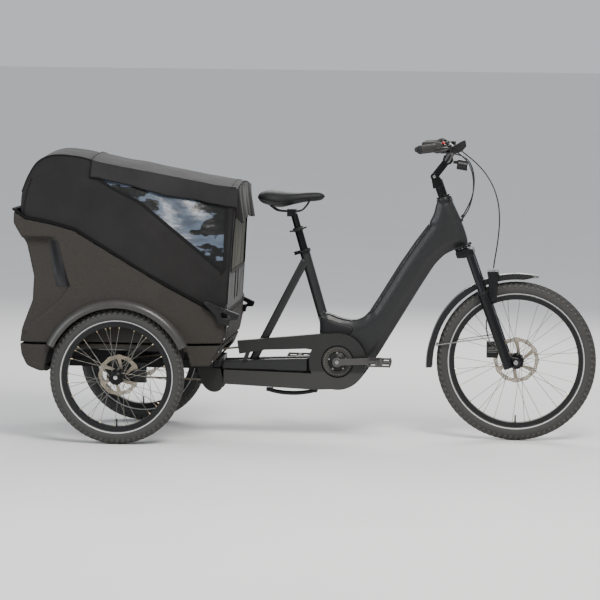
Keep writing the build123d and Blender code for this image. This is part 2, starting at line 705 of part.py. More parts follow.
with BuildPart() as battery_cover:
    gap_step = moved(COVER_EDGE, COVER_STEP[0] - 0.3, COVER_STEP[1] + 0.2)
    cover_side = moved(COVER_EDGE, 0.5, 0.5)[:-1] + [(1174, 847)] + gap_step[::-1]
    slab(cover_side, -FRAME_WIDTH / 2 + 2, FRAME_WIDTH / 2 - 2)
write(battery_cover, "battery_cover")

SPINDLE_RADIUS = 12
with BuildPart() as drive_unit:
    slab(DRIVE_UNIT, -DRIVE_HALF_WIDTH, DRIVE_HALF_WIDTH, 8)
    disc(CRANK_AXIS[0], CRANK_AXIS[1], 27, -36, 36)
    disc(CRANK_AXIS[0], CRANK_AXIS[1], SPINDLE_RADIUS + RUNNING_CLEARANCE, -60, 60, mode=Mode.SUBTRACT)
write(drive_unit, "drive_unit")

BEAM = [(BEAM_START, 214), (BEAM_START, 267), (460, 267), (BEAM_END, 260), (BEAM_END, 193), (639, 200)]
STAY = [(BEAM_START, 264), (BEAM_START, 297), (560, 306), (BEAM_END, 314), (BEAM_END, 257), (460, 264)]
CHAINRING_RELIEF = (706, 760)
BEAM_HOLLOW = [(392, 218), (392, 262), (460, 262), (760, 255), (760, 197), (639, 204)]
STRUT = [(455, 266), (490, 266), (705, 690), (677, 704)]
with BuildPart() as rear_frame:
    slab(BEAM, -34, 34)
    slab(BEAM_HOLLOW, -30, 30, mode=Mode.SUBTRACT)
    for _, side in SIDES:
        stay_span = sorted((side * 30, side * 60))
        slab(STAY, stay_span[0], stay_span[1])
    block(CHAINRING_RELIEF, (-61, -42), (240, 330), mode=Mode.SUBTRACT)
    slab(STRUT, -22, 22)
    rod(point(262, 0, TILT_HEIGHT), point(BEAM_START + 5, 0, TILT_HEIGHT), TILT_SHAFT_RADIUS)
    rod(seat_point(-200), seat_point(20), SEAT_TUBE_RADIUS, mode=Mode.SUBTRACT)
write(rear_frame, "rear_frame")

GUARD_Y = (-72, -44)
GUARD_WALL = 3
GUARD_RADIUS = 112
UPPER_ARM = [(430, 377), (439, 326), (541, 344), (700, 351), (790, 340), (829, 414), (757, 411)]
LOWER_ARM = [(378, 206), (378, 262), (728, 254), (800, 250), (829, 194), (735, 190)]


def guard_form(shrink, low, high, mode=Mode.ADD):
    """Adds the chain guard's outline of two arms and a disc, drawn in by a wall thickness."""
    with BuildSketch(side_plane(high)) as guard:
        for arm in (UPPER_ARM, LOWER_ARM):
            with BuildLine():
                Polyline(*arm, close=True)
            make_face()
        with Locations(CRANK_AXIS):
            Circle(GUARD_RADIUS)
        if shrink:
            offset(amount=-shrink)
    extrude(guard.sketch, amount=high - low, mode=mode)


with BuildPart() as chain_guard:
    guard_form(0, GUARD_Y[0], GUARD_Y[1])
    guard_form(GUARD_WALL, GUARD_Y[0] + GUARD_WALL, GUARD_Y[1] + 1, mode=Mode.SUBTRACT)
    block((360, 395), (GUARD_Y[0] + GUARD_WALL, GUARD_Y[1] + 1), (209, 259), mode=Mode.SUBTRACT)
    block((420, 450), (GUARD_Y[0] + GUARD_WALL, GUARD_Y[1] + 1), (336, 370), mode=Mode.SUBTRACT)
    disc(CRANK_AXIS[0], CRANK_AXIS[1], 64, GUARD_Y[0] - 1, GUARD_Y[1], mode=Mode.SUBTRACT)
    slab([(452, 300), (470, 300), (482, 334), (464, 331)], GUARD_Y[0], -60.2)
write(chain_guard, "chain_guard")

with BuildPart() as seat_clamp:
    clamp_plane = Plane(origin=seat_point(-14), x_dir=SEAT_UP.cross(Vector(0, -1, 0)), z_dir=SEAT_UP)
    with BuildSketch(clamp_plane):
        Circle(25)
        with Locations((-32, 0)):
            Rectangle(20, 16)
        Circle(SEAT_TUBE_RADIUS + RUNNING_CLEARANCE, mode=Mode.SUBTRACT)
    extrude(amount=14)
    with BuildSketch(clamp_plane.offset(4.8)):
        with Locations((-46, 0)):
            Rectangle(40, 40)
    extrude(amount=4.4, mode=Mode.SUBTRACT)
    with BuildSketch(clamp_plane):
        with Locations((-34, 0)):
            Circle(3)
    extrude(amount=14)
write(seat_clamp, "seat_clamp")

with BuildPart() as seat_clamp_lever:
    with BuildSketch(clamp_plane.offset(5)):
        Circle(36)
        Circle(29.5, mode=Mode.SUBTRACT)
        with Locations((0, 20)):
            Rectangle(80, 44, mode=Mode.SUBTRACT)
        with Locations((44, 0)):
            Rectangle(40, 90, mode=Mode.SUBTRACT)
        with Locations((-34, 0)):
            Circle(7)
            Circle(3 + RUNNING_CLEARANCE, mode=Mode.SUBTRACT)
    extrude(amount=4)
write(seat_clamp_lever, "seat_clamp_lever")

KICKSTAND_PIVOT = (738, 182)
with BuildPart() as kickstand:
    disc(KICKSTAND_PIVOT[0], KICKSTAND_PIVOT[1], 9, -24, -10)
    slab([(738, 189), (738, 175), (660, 170), (560, 176), (546, 184), (556, 190), (660, 182)], -24, -10, 2)
write(kickstand, "kickstand")


# ---- crank, pedals ----
def crank_end(direction, y):
    """Centre of a pedal's axle: direction is 1 ahead of the crank axis, -1 behind it."""
    reach = CRANK_LENGTH * direction
    return point(CRANK_AXIS[0] + reach * cos(radians(CRANK_TILT)), y, CRANK_AXIS[1] + reach * sin(radians(CRANK_TILT)))


PEDAL_AXLE_RADIUS = 7
with BuildPart() as crank_spindle:
    disc(CRANK_AXIS[0], CRANK_AXIS[1], SPINDLE_RADIUS, -88, 88)
write(crank_spindle, "crank_spindle")

with BuildPart() as crank_arms:
    for direction, side in ((1, -1), (-1, 1)):
        span = sorted((side * 88, side * 104))
        end_x, end_z = flat(crank_end(direction, 0))
        with BuildSketch(side_plane(span[1])) as arm:
            with Locations(CRANK_AXIS):
                Circle(19)
            with Locations((end_x, end_z)):
                Circle(13)
            with Locations(Location(((CRANK_AXIS[0] + end_x) / 2, (CRANK_AXIS[1] + end_z) / 2), CRANK_TILT)):
                Trapezoid(CRANK_LENGTH, 26, 90)
        extrude(arm.sketch, amount=span[1] - span[0])
        axle_span = sorted((side * 104, side * 200))
        disc(end_x, end_z, PEDAL_AXLE_RADIUS, axle_span[0], axle_span[1])
write(crank_arms, "crank_arms")

with BuildPart() as chainring:
    rim_radius = CHAINRING_PITCH_RADIUS - CHAIN_HALF_HEIGHT - TOOTH_GAP
    disc(CRANK_AXIS[0], CRANK_AXIS[1], rim_radius, CHAIN_Y - 1.5, CHAIN_Y + 1.5)
    disc(CRANK_AXIS[0], CRANK_AXIS[1], 22, CHAIN_Y - 8, CHAIN_Y + 10)
    with BuildSketch(side_plane(CHAIN_Y + 2)) as windows:
        with Locations(CRANK_AXIS):
            with PolarLocations(50, 5):
                Circle(15)
    extrude(windows.sketch, amount=4, mode=Mode.SUBTRACT)
    disc(CRANK_AXIS[0], CRANK_AXIS[1], SPINDLE_RADIUS, -80, 0, mode=Mode.SUBTRACT)
write(chainring, "chainring")

for name, side in SIDES:
    end_x, end_z = flat(crank_end(-side, 0))
    span = sorted((side * 108, side * 212))
    with BuildPart() as pedal:
        block((end_x - 46, end_x + 46), span, (end_z - 13, end_z + 13))
        chamfer(pedal.edges().filter_by(Axis.Y), 7)
        for opening in (-1, 1):
            middle = end_x + opening * 26
            window = sorted((side * 120, side * 200))
            block((middle - 11, middle + 11), window, (end_z - 20, end_z + 20), mode=Mode.SUBTRACT)
        bore = sorted((side * 100, side * 201))
        disc(end_x, end_z, PEDAL_AXLE_RADIUS + RUNNING_CLEARANCE, bore[0], bore[1], mode=Mode.SUBTRACT)
    write(pedal, f"{name}_pedal")

# ---- seat post and saddle ----
with BuildPart() as seatpost_lower:
    rod(seat_point(-180), seat_point(90), OUTER_POST_RADIUS)
    rod(seat_point(76), seat_point(90), 21)
    rod(seat_point(-181), seat_point(91), INNER_POST_RADIUS + RUNNING_CLEARANCE, mode=Mode.SUBTRACT)
write(seatpost_lower, "seatpost_lower")

RAIL_LINE_Z = 889
SADDLE_RAIL_RADIUS = 3.5
SADDLE_RAIL_Y = 22
with BuildPart() as seatpost_upper:
    rod(seat_point(-100), seat_point(142), INNER_POST_RADIUS)
    block((618, 652), (-29, 29), (868, 897))
    for _, side in SIDES:
        channel = [point(x, side * SADDLE_RAIL_Y, RAIL_LINE_Z) for x in (600, 670)]
        rod(channel[0], channel[1], SADDLE_RAIL_RADIUS + FIT_GAP, mode=Mode.SUBTRACT)
write(seatpost_upper, "seatpost_upper")

SADDLE_SIDE = [(502, 942), (514, 962), (547, 969), (640, 961), (720, 964), (754, 960), (763, 950)]
SADDLE_SIDE += [(750, 938), (690, 930), (640, 922), (600, 908), (556, 908), (515, 922)]
SADDLE_PLAN = [(502, 40), (520, 76), (556, 90), (600, 82), (650, 48), (700, 29), (750, 21), (763, 10)]
with BuildPart() as saddle:
    slab(SADDLE_SIDE, -100, 100)
    plan_points = SADDLE_PLAN + [(x, -y) for x, y in SADDLE_PLAN[::-1]]
    extrude(outline(top_plane(880), plan_points), amount=120, mode=Mode.INTERSECT)
    for _, side in SIDES:
        rail_y = side * SADDLE_RAIL_Y
        rail = [point(x, rail_y, z) for x, z in ((548, 920), (590, RAIL_LINE_Z), (664, RAIL_LINE_Z), (708, 938))]
        bent_tube(rail, [14, 14], SADDLE_RAIL_RADIUS)
write(saddle, "saddle")

# ---- fork and front guard ----
STEERER_RADIUS = 14.25
CROWN_TOP = 214
CROWN_BOTTOM = 246
with BuildPart() as fork_upper:
    rod(steer_point(CROWN_TOP + 4), steer_point(-70), STEERER_RADIUS)
    rod(steer_point(CROWN_TOP), steer_point(HEAD_LENGTH + 0.6), 26)
    crown = [(CROWN_TOP, -24), (CROWN_TOP, 30), (CROWN_TOP + 8, 46), (CROWN_BOTTOM, 46), (CROWN_BOTTOM, 4), (CROWN_BOTTOM - 8, -24)]
    slab([flat(steer_point(down, ahead)) for down, ahead in crown], -82, 82, 4)
    for _, side in SIDES:
        rod(steer_point(CROWN_BOTTOM - 5, LEG_OFFSET, side * LEG_Y), steer_point(520, LEG_OFFSET, side * LEG_Y), STANCHION_RADIUS)
write(fork_upper, "fork_upper")

LEG_TOP = 402
LEG_END = 712
DROPOUT_Y = (50.2, 66)
ARCH_POST = [(1408, 668), (1452, 668), (1447, 560), (1420, 548)]
with BuildPart() as fork_lowers:
    for _, side in SIDES:
        top = steer_point(LEG_TOP, LEG_OFFSET, side * LEG_Y)
        rod(top, steer_point(LEG_END, LEG_OFFSET, side * LEG_Y), LOWER_LEG_RADIUS)
        span = sorted((side * DROPOUT_Y[0], side * DROPOUT_Y[1]))
        disc(WHEELBASE, FRONT_RADIUS, 17, span[0], span[1])
        slab([(1470, 345), (1536, 328), (1530, 296), (1488, 290)], span[0], span[1])
        arch_span = sorted((side * 46, side * 60))
        slab(ARCH_POST, arch_span[0], arch_span[1])
        bore_top = steer_point(LEG_TOP - 1, LEG_OFFSET, side * LEG_Y)
        bore_end = steer_point(600, LEG_OFFSET, side * LEG_Y)
        rod(bore_top, bore_end, STANCHION_RADIUS + RUNNING_CLEARANCE, mode=Mode.SUBTRACT)
    slab([(1408, 657), (1408, 668), (1452, 668), (1452, 657)], -60, 60)
    disc(WHEELBASE, FRONT_RADIUS, FRONT_AXLE_RADIUS, -80, 80, mode=Mode.SUBTRACT)
write(fork_lowers, "fork_lowers")

with BuildPart() as front_axle:
    disc(WHEELBASE, FRONT_RADIUS, FRONT_AXLE_RADIUS, -74, 74)
    disc(WHEELBASE, FRONT_RADIUS, 12, DROPOUT_Y[1], 74)
    disc(WHEELBASE, FRONT_RADIUS, 12, -74, -DROPOUT_Y[1])
write(front_axle, "front_axle")

with BuildPart() as front_caliper:
    block((1408, 1454), (26, 62), (320, 384))
    disc(WHEELBASE, FRONT_RADIUS, FRONT_ROTOR_RADIUS + 3, FRONT_ROTOR_Y - 2, FRONT_ROTOR_Y + 2, mode=Mode.SUBTRACT)
    disc(WHEELBASE, FRONT_RADIUS, 72, 0, 100, mode=Mode.SUBTRACT)
    leg_top = steer_point(LEG_TOP, LEG_OFFSET, LEG_Y)
    rod(leg_top, steer_point(LEG_END, LEG_OFFSET, LEG_Y), LOWER_LEG_RADIUS + 0.05, mode=Mode.SUBTRACT)
write(front_caliper, "front_caliper")

GUARD_OUTER_RADIUS = 349
GUARD_THICKNESS = 2.5
GUARD_HALF_WIDTH = 34
GUARD_SKIRT = 14
GUARD_ANGLES = (76, 108, 146, 185)
with BuildPart() as mudguard:
    with BuildSketch(cross_plane(WHEELBASE, 0, FRONT_RADIUS)):
        with Locations((0, GUARD_OUTER_RADIUS - GUARD_SKIRT / 2)):
            Rectangle(2 * GUARD_HALF_WIDTH, GUARD_SKIRT)
        with Locations((0, GUARD_OUTER_RADIUS - GUARD_THICKNESS - GUARD_SKIRT / 2)):
            Rectangle(2 * (GUARD_HALF_WIDTH - GUARD_THICKNESS), GUARD_SKIRT, mode=Mode.SUBTRACT)
    revolve(axis=Axis(point(WHEELBASE, 0, FRONT_RADIUS), (0, 1, 0)))
    fan = [(WHEELBASE, FRONT_RADIUS)]
    fan += [(WHEELBASE + 600 * cos(radians(a)), FRONT_RADIUS + 600 * sin(radians(a))) for a in GUARD_ANGLES]
    slab(fan, -100, 100, mode=Mode.INTERSECT)
    block((1418, 1442), (-10, 10), (645, 656.8))
    for _, side in SIDES:
        rod(point(1450, side * 62, 412), point(1212, side * (GUARD_HALF_WIDTH - 1), 372), 2.5)
        leg_top = steer_point(LEG_TOP, LEG_OFFSET, side * LEG_Y)
        rod(leg_top, steer_point(LEG_END, LEG_OFFSET, side * LEG_Y), LOWER_LEG_RADIUS + 0.05, mode=Mode.SUBTRACT)
write(mudguard, "mudguard")

# ---- stem and handlebar ----
JOINT_EYE_HALF = 13.8
JOINT_EAR = (14, 20)
STEM_PIN_RADIUS = 5
with BuildPart() as stem_base:
    rod(steer_point(-0.6), steer_point(-10), 27)
    rod(steer_point(-9), steer_point(-74), 19)
    for _, side in SIDES:
        span = sorted((side * JOINT_EAR[0], side * JOINT_EAR[1]))
        disc(STEM_JOINT[0], STEM_JOINT[1], 15, span[0], span[1])
        ear = [(1183, 1022), (1206, 1042), (1222, 1020), (1226, 995), (1190, 985)]
        slab(ear, span[0], span[1])
    disc(STEM_JOINT[0], STEM_JOINT[1], STEM_PIN_RADIUS, -JOINT_EAR[1], JOINT_EAR[1])
    rod(steer_point(20), steer_point(-70), STEERER_RADIUS + RUNNING_CLEARANCE, mode=Mode.SUBTRACT)
write(stem_base, "stem_base")

with BuildPart() as stem_link:
    disc(STEM_JOINT[0], STEM_JOINT[1], 14, -JOINT_EYE_HALF, JOINT_EYE_HALF)
    slab([(1183, 1042), (1236, 1110), (1257, 1092), (1205, 1024)], -JOINT_EYE_HALF, JOINT_EYE_HALF)
    disc(BAR_CLAMP[0], BAR_CLAMP[1], 20, -24, 24)
    disc(STEM_JOINT[0], STEM_JOINT[1], STEM_PIN_RADIUS + RUNNING_CLEARANCE, -30, 30, mode=Mode.SUBTRACT)
    disc(BAR_CLAMP[0], BAR_CLAMP[1], BAR_RADIUS + RUNNING_CLEARANCE, -30, 30, mode=Mode.SUBTRACT)
write(stem_link, "stem_link")

BAR_HALF = [(1246, 56, 1100), (1266, 130, 1134), (1236, 206, 1156), (1152, 336, 1148)]
bar_points = [point(x, -y, z) for x, y, z in BAR_HALF[::-1]] + [point(*p) for p in BAR_HALF]
with BuildPart() as handlebar:
    bent_tube(bar_points, [24, 24, 30, 30, 24, 24], BAR_RADIUS)
write(handlebar, "handlebar")


def bar_frame(side):
    """The straight end of the bar on one side: its start, outward direction and forward direction."""
    start = point(BAR_HALF[2][0], side * BAR_HALF[2][1], BAR_HALF[2][2])
    end = point(BAR_HALF[3][0], side * BAR_HALF[3][1], BAR_HALF[3][2])
    outward = (end - start).normalized()
    forward = Vector(abs(outward.Y), side * abs(outward.X), 0).normalized()
    return start, outward, forward, (end - start).length


GRIP_START = 32
with BuildPart() as grips:
    for _, side in SIDES:
        start, outward, forward, length = bar_frame(side)
        rod(start + outward * GRIP_START, start + outward * (length + 6), 17)
        palm = start - forward * 15
        rod(palm + outward * (GRIP_START + 30), palm + outward * (length + 6), 11)
        rod(start + outward * (GRIP_START - 1), start + outward * length, BAR_RADIUS + RUNNING_CLEARANCE, mode=Mode.SUBTRACT)
write(grips, "grips")

LEVER_REACH = 42
LEVER_EYE_HALF = 4.8
LEVER_PIN_RADIUS = 3
POD_ALONG = 21


def lever_pivot(side):
    """Centre of a brake lever's pin."""
    start, outward, forward, _ = bar_frame(side)
    return start + outward * POD_ALONG + forward * LEVER_REACH


with BuildPart() as control_pods:
    for _, side in SIDES:
        start, outward, forward, _ = bar_frame(side)
        rod(start + outward * (POD_ALONG - 7), start + outward * (POD_ALONG + 7), 17)
        middle = start + outward * POD_ALONG
        rod(middle + forward * 14, middle + forward * (LEVER_REACH - 10), 8)
        pivot = lever_pivot(side)
        for low, high in ((-10, -5), (5, 10)):
            rod(pivot + Vector(0, 0, low), pivot + Vector(0, 0, high), 9)
            ear_start = pivot - forward * 16 + Vector(0, 0, (low + high) / 2)
            rod(ear_start, pivot + Vector(0, 0, (low + high) / 2), 2.5)
        rod(pivot - Vector(0, 0, 10), pivot + Vector(0, 0, 10), LEVER_PIN_RADIUS)
        rod(start + outward * (POD_ALONG - 8), start + outward * (POD_ALONG + 8), BAR_RADIUS + RUNNING_CLEARANCE, mode=Mode.SUBTRACT)
    block((1216, 1262), (-34, 34), (1124, 1138))
    for _, side in SIDES:
        block((1239, 1253), sorted((side * 26, side * 34)), (1112, 1125))
        foot = sorted((side * 26, side * 34))
        disc(BAR_CLAMP[0], BAR_CLAMP[1], 15, foot[0], foot[1])
        disc(BAR_CLAMP[0], BAR_CLAMP[1], BAR_RADIUS + RUNNING_CLEARANCE, foot[0] - 1, foot[1] + 1, mode=Mode.SUBTRACT)
write(control_pods, "control_pods")

for name, side in SIDES:
    start, outward, forward, _ = bar_frame(side)
    pivot = lever_pivot(side)
    with BuildPart() as lever:
        rod(pivot - Vector(0, 0, LEVER_EYE_HALF), pivot + Vector(0, 0, LEVER_EYE_HALF), 8)
        rod(pivot, pivot + outward * 104 + forward * 4, 4.5)
        eye = Vector(0, 0, LEVER_EYE_HALF + 1)
        rod(pivot - eye, pivot + eye, LEVER_PIN_RADIUS + RUNNING_CLEARANCE, mode=Mode.SUBTRACT)
    write(lever, f"{name}_brake_lever")

with BuildPart() as headlight:
    rod(point(1282, 0, 1082), point(1322, 0, 1076), 20)
    block((1266.5, 1290), (-6, 6), (1084, 1096))
write(headlight, "headlight")

# ---- hose and cables ----
HOSE_RADIUS = 2.5
CABLE_RADIUS = 2.5
BRAKE_HOSE = [
    (1270, 196, 1146),
    (1304, 172, 1120),
    (1348, 147, 1088),
    (1390, 125, 1046),
    (1424, 106, 992),
    (1444, 91, 932),
    (1451, 80, 870),
    (1448, 71, 806),
    (1440, 65, 742),
    (1433, 62, 700),
    (1430, 60, 672),
]
CLIPPED_HOSE = [
    (1430, 63, 665),
    (1431, 70, 620),
    (1422, 86, 560),
    (1409, 91, 501),
    (1404, 83, 452),
    (1407, 62, 421),
    (1413, 47, 401),
    (1419, 41, 386),
]
RIGHT_CABLE = [
    (1270, -196, 1146),
    (1306, -164, 1122),
    (1334, -126, 1088),
    (1348, -92, 1040),
    (1350, -66, 986),
    (1340, -44, 934),
    (1324, -28, 893),
    (1305, -20, 868),
]
CENTRE_CABLE = [
    (1272, 44, 1120),
    (1304, 42, 1114),
    (1330, 38, 1092),
    (1345, 34, 1056),
    (1350, 29, 1014),
    (1346, 24, 970),
    (1333, 18, 926),
    (1312, 13, 884),
]

for label, routes, radius in (
    ("front_brake_hose", [BRAKE_HOSE, CLIPPED_HOSE], HOSE_RADIUS),
    ("control_cables", [RIGHT_CABLE, CENTRE_CABLE], CABLE_RADIUS),
):
    with BuildPart() as cord:
        for route in routes:
            route_points = [point(*p) for p in route]
            radii = bend_radii(route_points)
            print(label, "arc radii, mm:", [round(r) for r in radii])
            bent_tube(route_points, radii, radius)
    write(cord, label)
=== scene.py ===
"""Looks of the leaning cargo tricycle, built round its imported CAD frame."""

import json
from math import acos, atan2, cos, exp, pi, radians, sin, sqrt

import bmesh
import bpy
from mathutils import Matrix, Quaternion, Vector, noise
from mathutils.bvhtree import BVHTree
from mathutils.kdtree import KDTree


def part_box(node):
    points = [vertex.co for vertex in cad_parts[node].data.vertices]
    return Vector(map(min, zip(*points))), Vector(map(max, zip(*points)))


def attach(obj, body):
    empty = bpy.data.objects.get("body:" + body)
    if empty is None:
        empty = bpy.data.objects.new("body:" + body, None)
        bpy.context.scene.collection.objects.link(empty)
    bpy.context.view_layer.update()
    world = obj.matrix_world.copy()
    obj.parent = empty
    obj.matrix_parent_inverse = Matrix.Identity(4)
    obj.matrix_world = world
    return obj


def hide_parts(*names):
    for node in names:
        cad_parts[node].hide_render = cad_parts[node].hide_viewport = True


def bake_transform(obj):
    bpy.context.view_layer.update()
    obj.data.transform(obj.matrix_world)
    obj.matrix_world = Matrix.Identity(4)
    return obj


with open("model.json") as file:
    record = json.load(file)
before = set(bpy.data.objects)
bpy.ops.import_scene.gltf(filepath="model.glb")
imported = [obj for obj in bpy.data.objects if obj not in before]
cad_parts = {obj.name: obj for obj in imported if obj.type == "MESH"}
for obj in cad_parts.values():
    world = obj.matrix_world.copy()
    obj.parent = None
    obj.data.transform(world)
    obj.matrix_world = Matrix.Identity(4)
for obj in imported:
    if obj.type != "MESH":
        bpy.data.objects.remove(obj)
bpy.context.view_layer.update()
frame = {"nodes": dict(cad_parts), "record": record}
NODES = frame["nodes"]

# ---- layout ----
# in metres; places are ahead of the rear axle and above the ground
REAR_AXLE_X = -0.712
HEAD_TOP = (1.231, 0.949)
HEAD_ANGLE = radians(70)
SEAT_TOP = (0.684, 0.739)
SEAT_ANGLE = radians(73.4)
# in millimetres, as are the points that go through mm()
WHEELBASE = 1526
FRONT_RADIUS = 313
REAR_RADIUS = 261
REAR_WHEEL_Y = 385
CRANK_X, CRANK_Z = 827, 303
CHAIN_Y = -48
SIDES = (("right", -1), ("left", 1))


def at(x, y, z):
    """A point in metres from the rear axle, in the row frame."""
    return Vector((REAR_AXLE_X + x, y, z))


def mm(x, y, z):
    """A point in millimetres from the rear axle, in the row frame."""
    return at(x / 1000, y / 1000, z / 1000)


def steer_at(down, ahead=0.0, y=0.0):
    """A point measured down the steering axis from the head's top, and ahead of that axis, in metres."""
    c, s = cos(HEAD_ANGLE), sin(HEAD_ANGLE)
    return at(HEAD_TOP[0] + c * down + s * ahead, y, HEAD_TOP[1] - s * down + c * ahead)


def seat_at(up, y=0.0, ahead=0.0):
    """A point measured up the seat tube's axis, and ahead of it, in metres."""
    c, s = cos(SEAT_ANGLE), sin(SEAT_ANGLE)
    return at(SEAT_TOP[0] - c * up + s * ahead, y, SEAT_TOP[1] + s * up + c * ahead)


# ---- materials ----
class Nodes:
    """A material's node tree, with short calls for what the finishes here need."""

    def __init__(self, name):
        self.material = bpy.data.materials.new(name)
        self.material.use_nodes = True
        self.tree = self.material.node_tree
        self.shader = self.tree.nodes["Principled BSDF"]
        self.coordinates = self.add("ShaderNodeTexCoord").outputs["Object"]

    def add(self, kind, **inputs):
        node = self.tree.nodes.new(kind)
        for key, value in inputs.items():
            node.inputs[key.replace("_", " ")].default_value = value
        return node

    def link(self, a, b):
        self.tree.links.new(a, b)

    def feed(self, socket, value):
        """Gives a socket a number, a colour or another node's output."""
        if isinstance(value, (int, float)):
            socket.default_value = value
        elif hasattr(value, "__len__"):
            socket.default_value = (*value, 1)
        else:
            self.link(value, socket)

    def noise(self, scale, detail=2.0, rough=0.5, stretch=None):
        node = self.add("ShaderNodeTexNoise", Scale=scale, Detail=detail, Roughness=rough)
        self.link(self.mapped(stretch), node.inputs["Vector"])
        return node.outputs["Fac"]

    def mapped(self, stretch):
        if stretch is None:
            return self.coordinates
        node = self.add("ShaderNodeMapping")
        node.inputs["Scale"].default_value = stretch
        self.link(self.coordinates, node.inputs["Vector"])
        return node.outputs["Vector"]

    def cells(self, scale):
        node = self.add("ShaderNodeTexVoronoi", Scale=scale)
        self.link(self.coordinates, node.inputs["Vector"])
        return node.outputs

    def ramp(self, fac, stops):
        node = self.add("ShaderNodeValToRGB")
        elements = node.color_ramp.elements
        while len(elements) < len(stops):
            elements.new(0.5)
        for element, (position, value) in zip(elements, stops):
            element.position = position
            colour = value if hasattr(value, "__len__") else (value, value, value)
            element.color = (*colour, 1)
        self.link(fac, node.inputs["Fac"])
        return node.outputs["Color"]

    def math(self, operation, a, b, clamp=False):
        node = self.add("ShaderNodeMath")
        node.operation = operation
        node.use_clamp = clamp
        self.feed(node.inputs[0], a)
        self.feed(node.inputs[1], b)
        return node.outputs["Value"]

    def mix(self, fac, a, b):
        node = self.add("ShaderNodeMix")
        node.data_type = "RGBA"
        for index, value in ((0, fac), (6, a), (7, b)):
            self.feed(node.inputs[index], value)
        return node.outputs[2]

    def bump(self, height, strength, distance, below=None):
        node = self.add("ShaderNodeBump", Strength=strength, Distance=distance)
        self.link(height, node.inputs["Height"])
        if below is not None:
            self.link(below, node.inputs["Normal"])
        return node.outputs["Normal"]

    def finish(self, colour, rough, normal=None, **fixed):
        shader = self.shader
        self.feed(shader.inputs["Base Color"], colour)
        self.feed(shader.inputs["Roughness"], rough)
        if normal is not None:
            self.link(normal, shader.inputs["Normal"])
        for key, value in fixed.items():
            shader.inputs[key.replace("_", " ")].default_value = value
        return self.material


def shade(colour, factor):
    return tuple(min(1.0, c * factor) for c in colour)


def coated(
    name, colour, rough=0.5, grain=900, depth=0.15, mottle=0.18, metal=0.0, coat=0.0, wear=0.0, shine=0.28
):
    """Paint, anodising or moulded plastic: a fine grain, slow colour drift, and paler edges where worn."""
    n = Nodes(name)
    drift = n.noise(7, 4, 0.6)
    dust = n.noise(60, 5, 0.65)
    tone = n.mix(drift, shade(colour, 1 - mottle), shade(colour, 1 + mottle))
    tone = n.mix(n.ramp(dust, [(0.55, 0.0), (0.8, 0.16)]), tone, shade(colour, 1.9))
    if wear:
        edge = n.add("ShaderNodeNewGeometry").outputs["Pointiness"]
        rubbed, patchy = n.ramp(edge, [(0.51, 0.0), (0.58, 1.0)]), n.ramp(dust, [(0.4, 0.2), (0.6, 1.0)])
        worn = n.math("MULTIPLY", rubbed, patchy)
        tone = n.mix(n.math("MULTIPLY", worn, wear), tone, shade(colour, 3.2))
    roughness = n.ramp(dust, [(0.3, max(0.03, rough - 0.1)), (0.75, min(1, rough + 0.12))])
    normal = n.bump(n.noise(grain, 3, 0.6), depth, 0.0006)
    gloss = {"Metallic": metal, "Coat Weight": coat, "Coat Roughness": 0.12, "Specular IOR Level": shine}
    return n.finish(tone, roughness, normal, **gloss)


def speckled(name, colour):
    """Moulded bead foam: small dimpled cells, each a slightly different tone."""
    n = Nodes(name)
    beads = n.cells(420)
    cell = beads["Distance"]
    tint = n.add("ShaderNodeSeparateColor")
    n.link(beads["Color"], tint.inputs["Color"])
    drift = n.noise(4, 3, 0.6)
    low = n.mix(drift, shade(colour, 0.86), shade(colour, 1.12))
    tone = n.mix(n.ramp(tint.outputs[0], [(0.0, 0.0), (1.0, 0.55)]), low, shade(colour, 1.75))
    tone = n.mix(n.ramp(n.noise(900, 2), [(0.62, 0.0), (0.72, 0.6)]), tone, shade(colour, 2.4))
    normal = n.bump(cell, 0.6, 0.0015)
    normal = n.bump(n.noise(2600, 2), 0.25, 0.0006, normal)
    return n.finish(tone, n.ramp(cell, [(0.1, 0.72), (0.7, 0.9)]), normal, Specular_IOR_Level=0.3)


def woven(name, colour, pitch=0.0016, depth=0.5, rough=0.85, sheen=0.1):
    """Plain-weave coated cloth: threads cross in two directions, with painted shade and light in slow patches
    that stand for soft folds.
    """
    n = Nodes(name)
    lines = 1 / pitch
    threads = []
    for direction in ("DIAGONAL", "X", "Z"):
        node = n.add("ShaderNodeTexWave", Scale=lines / 6.28)
        node.bands_direction = direction
        n.link(n.coordinates, node.inputs["Vector"])
        threads.append(node.outputs["Fac"])
    height = n.math("MULTIPLY", threads[1], threads[2])
    height = n.math("ADD", height, n.math("MULTIPLY", threads[0], 0.3))
    # painted shade: this slow drift darkens and lightens the cloth in broad patches that stand for light and
    # shade on soft folds
    drift = n.noise(5, 5, 0.6)
    tone = n.mix(n.ramp(drift, [(0.3, 0.0), (0.7, 1.0)]), shade(colour, 0.68), shade(colour, 1.4))
    tone = n.mix(n.ramp(height, [(0.1, 0.0), (1.0, 0.35)]), tone, shade(colour, 1.6))
    crease = n.bump(n.noise(14, 4, 0.55, (1, 1, 0.6)), 0.4, 0.012)
    normal = n.bump(height, depth, 0.0004, crease)
    return n.finish(tone, rough, normal, Sheen_Weight=sheen, Sheen_Roughness=0.5, Specular_IOR_Level=0.25)


def metal(name, colour, rough=0.3, brushed=(1, 40, 1), scale=60):
    """Bare or plated metal with fine drawn scratches."""
    n = Nodes(name)
    scratch = n.noise(scale, 6, 0.7, brushed)
    smudge = n.noise(25, 4, 0.6)
    tone = n.mix(scratch, shade(colour, 0.8), shade(colour, 1.12))
    tone = n.mix(n.ramp(smudge, [(0.55, 0.0), (0.8, 0.3)]), tone, shade(colour, 0.55))
    roughness = n.ramp(smudge, [(0.3, max(0.05, rough - 0.1)), (0.8, rough + 0.18)])
    return n.finish(tone, roughness, n.bump(scratch, 0.12, 0.0004), Metallic=1.0)


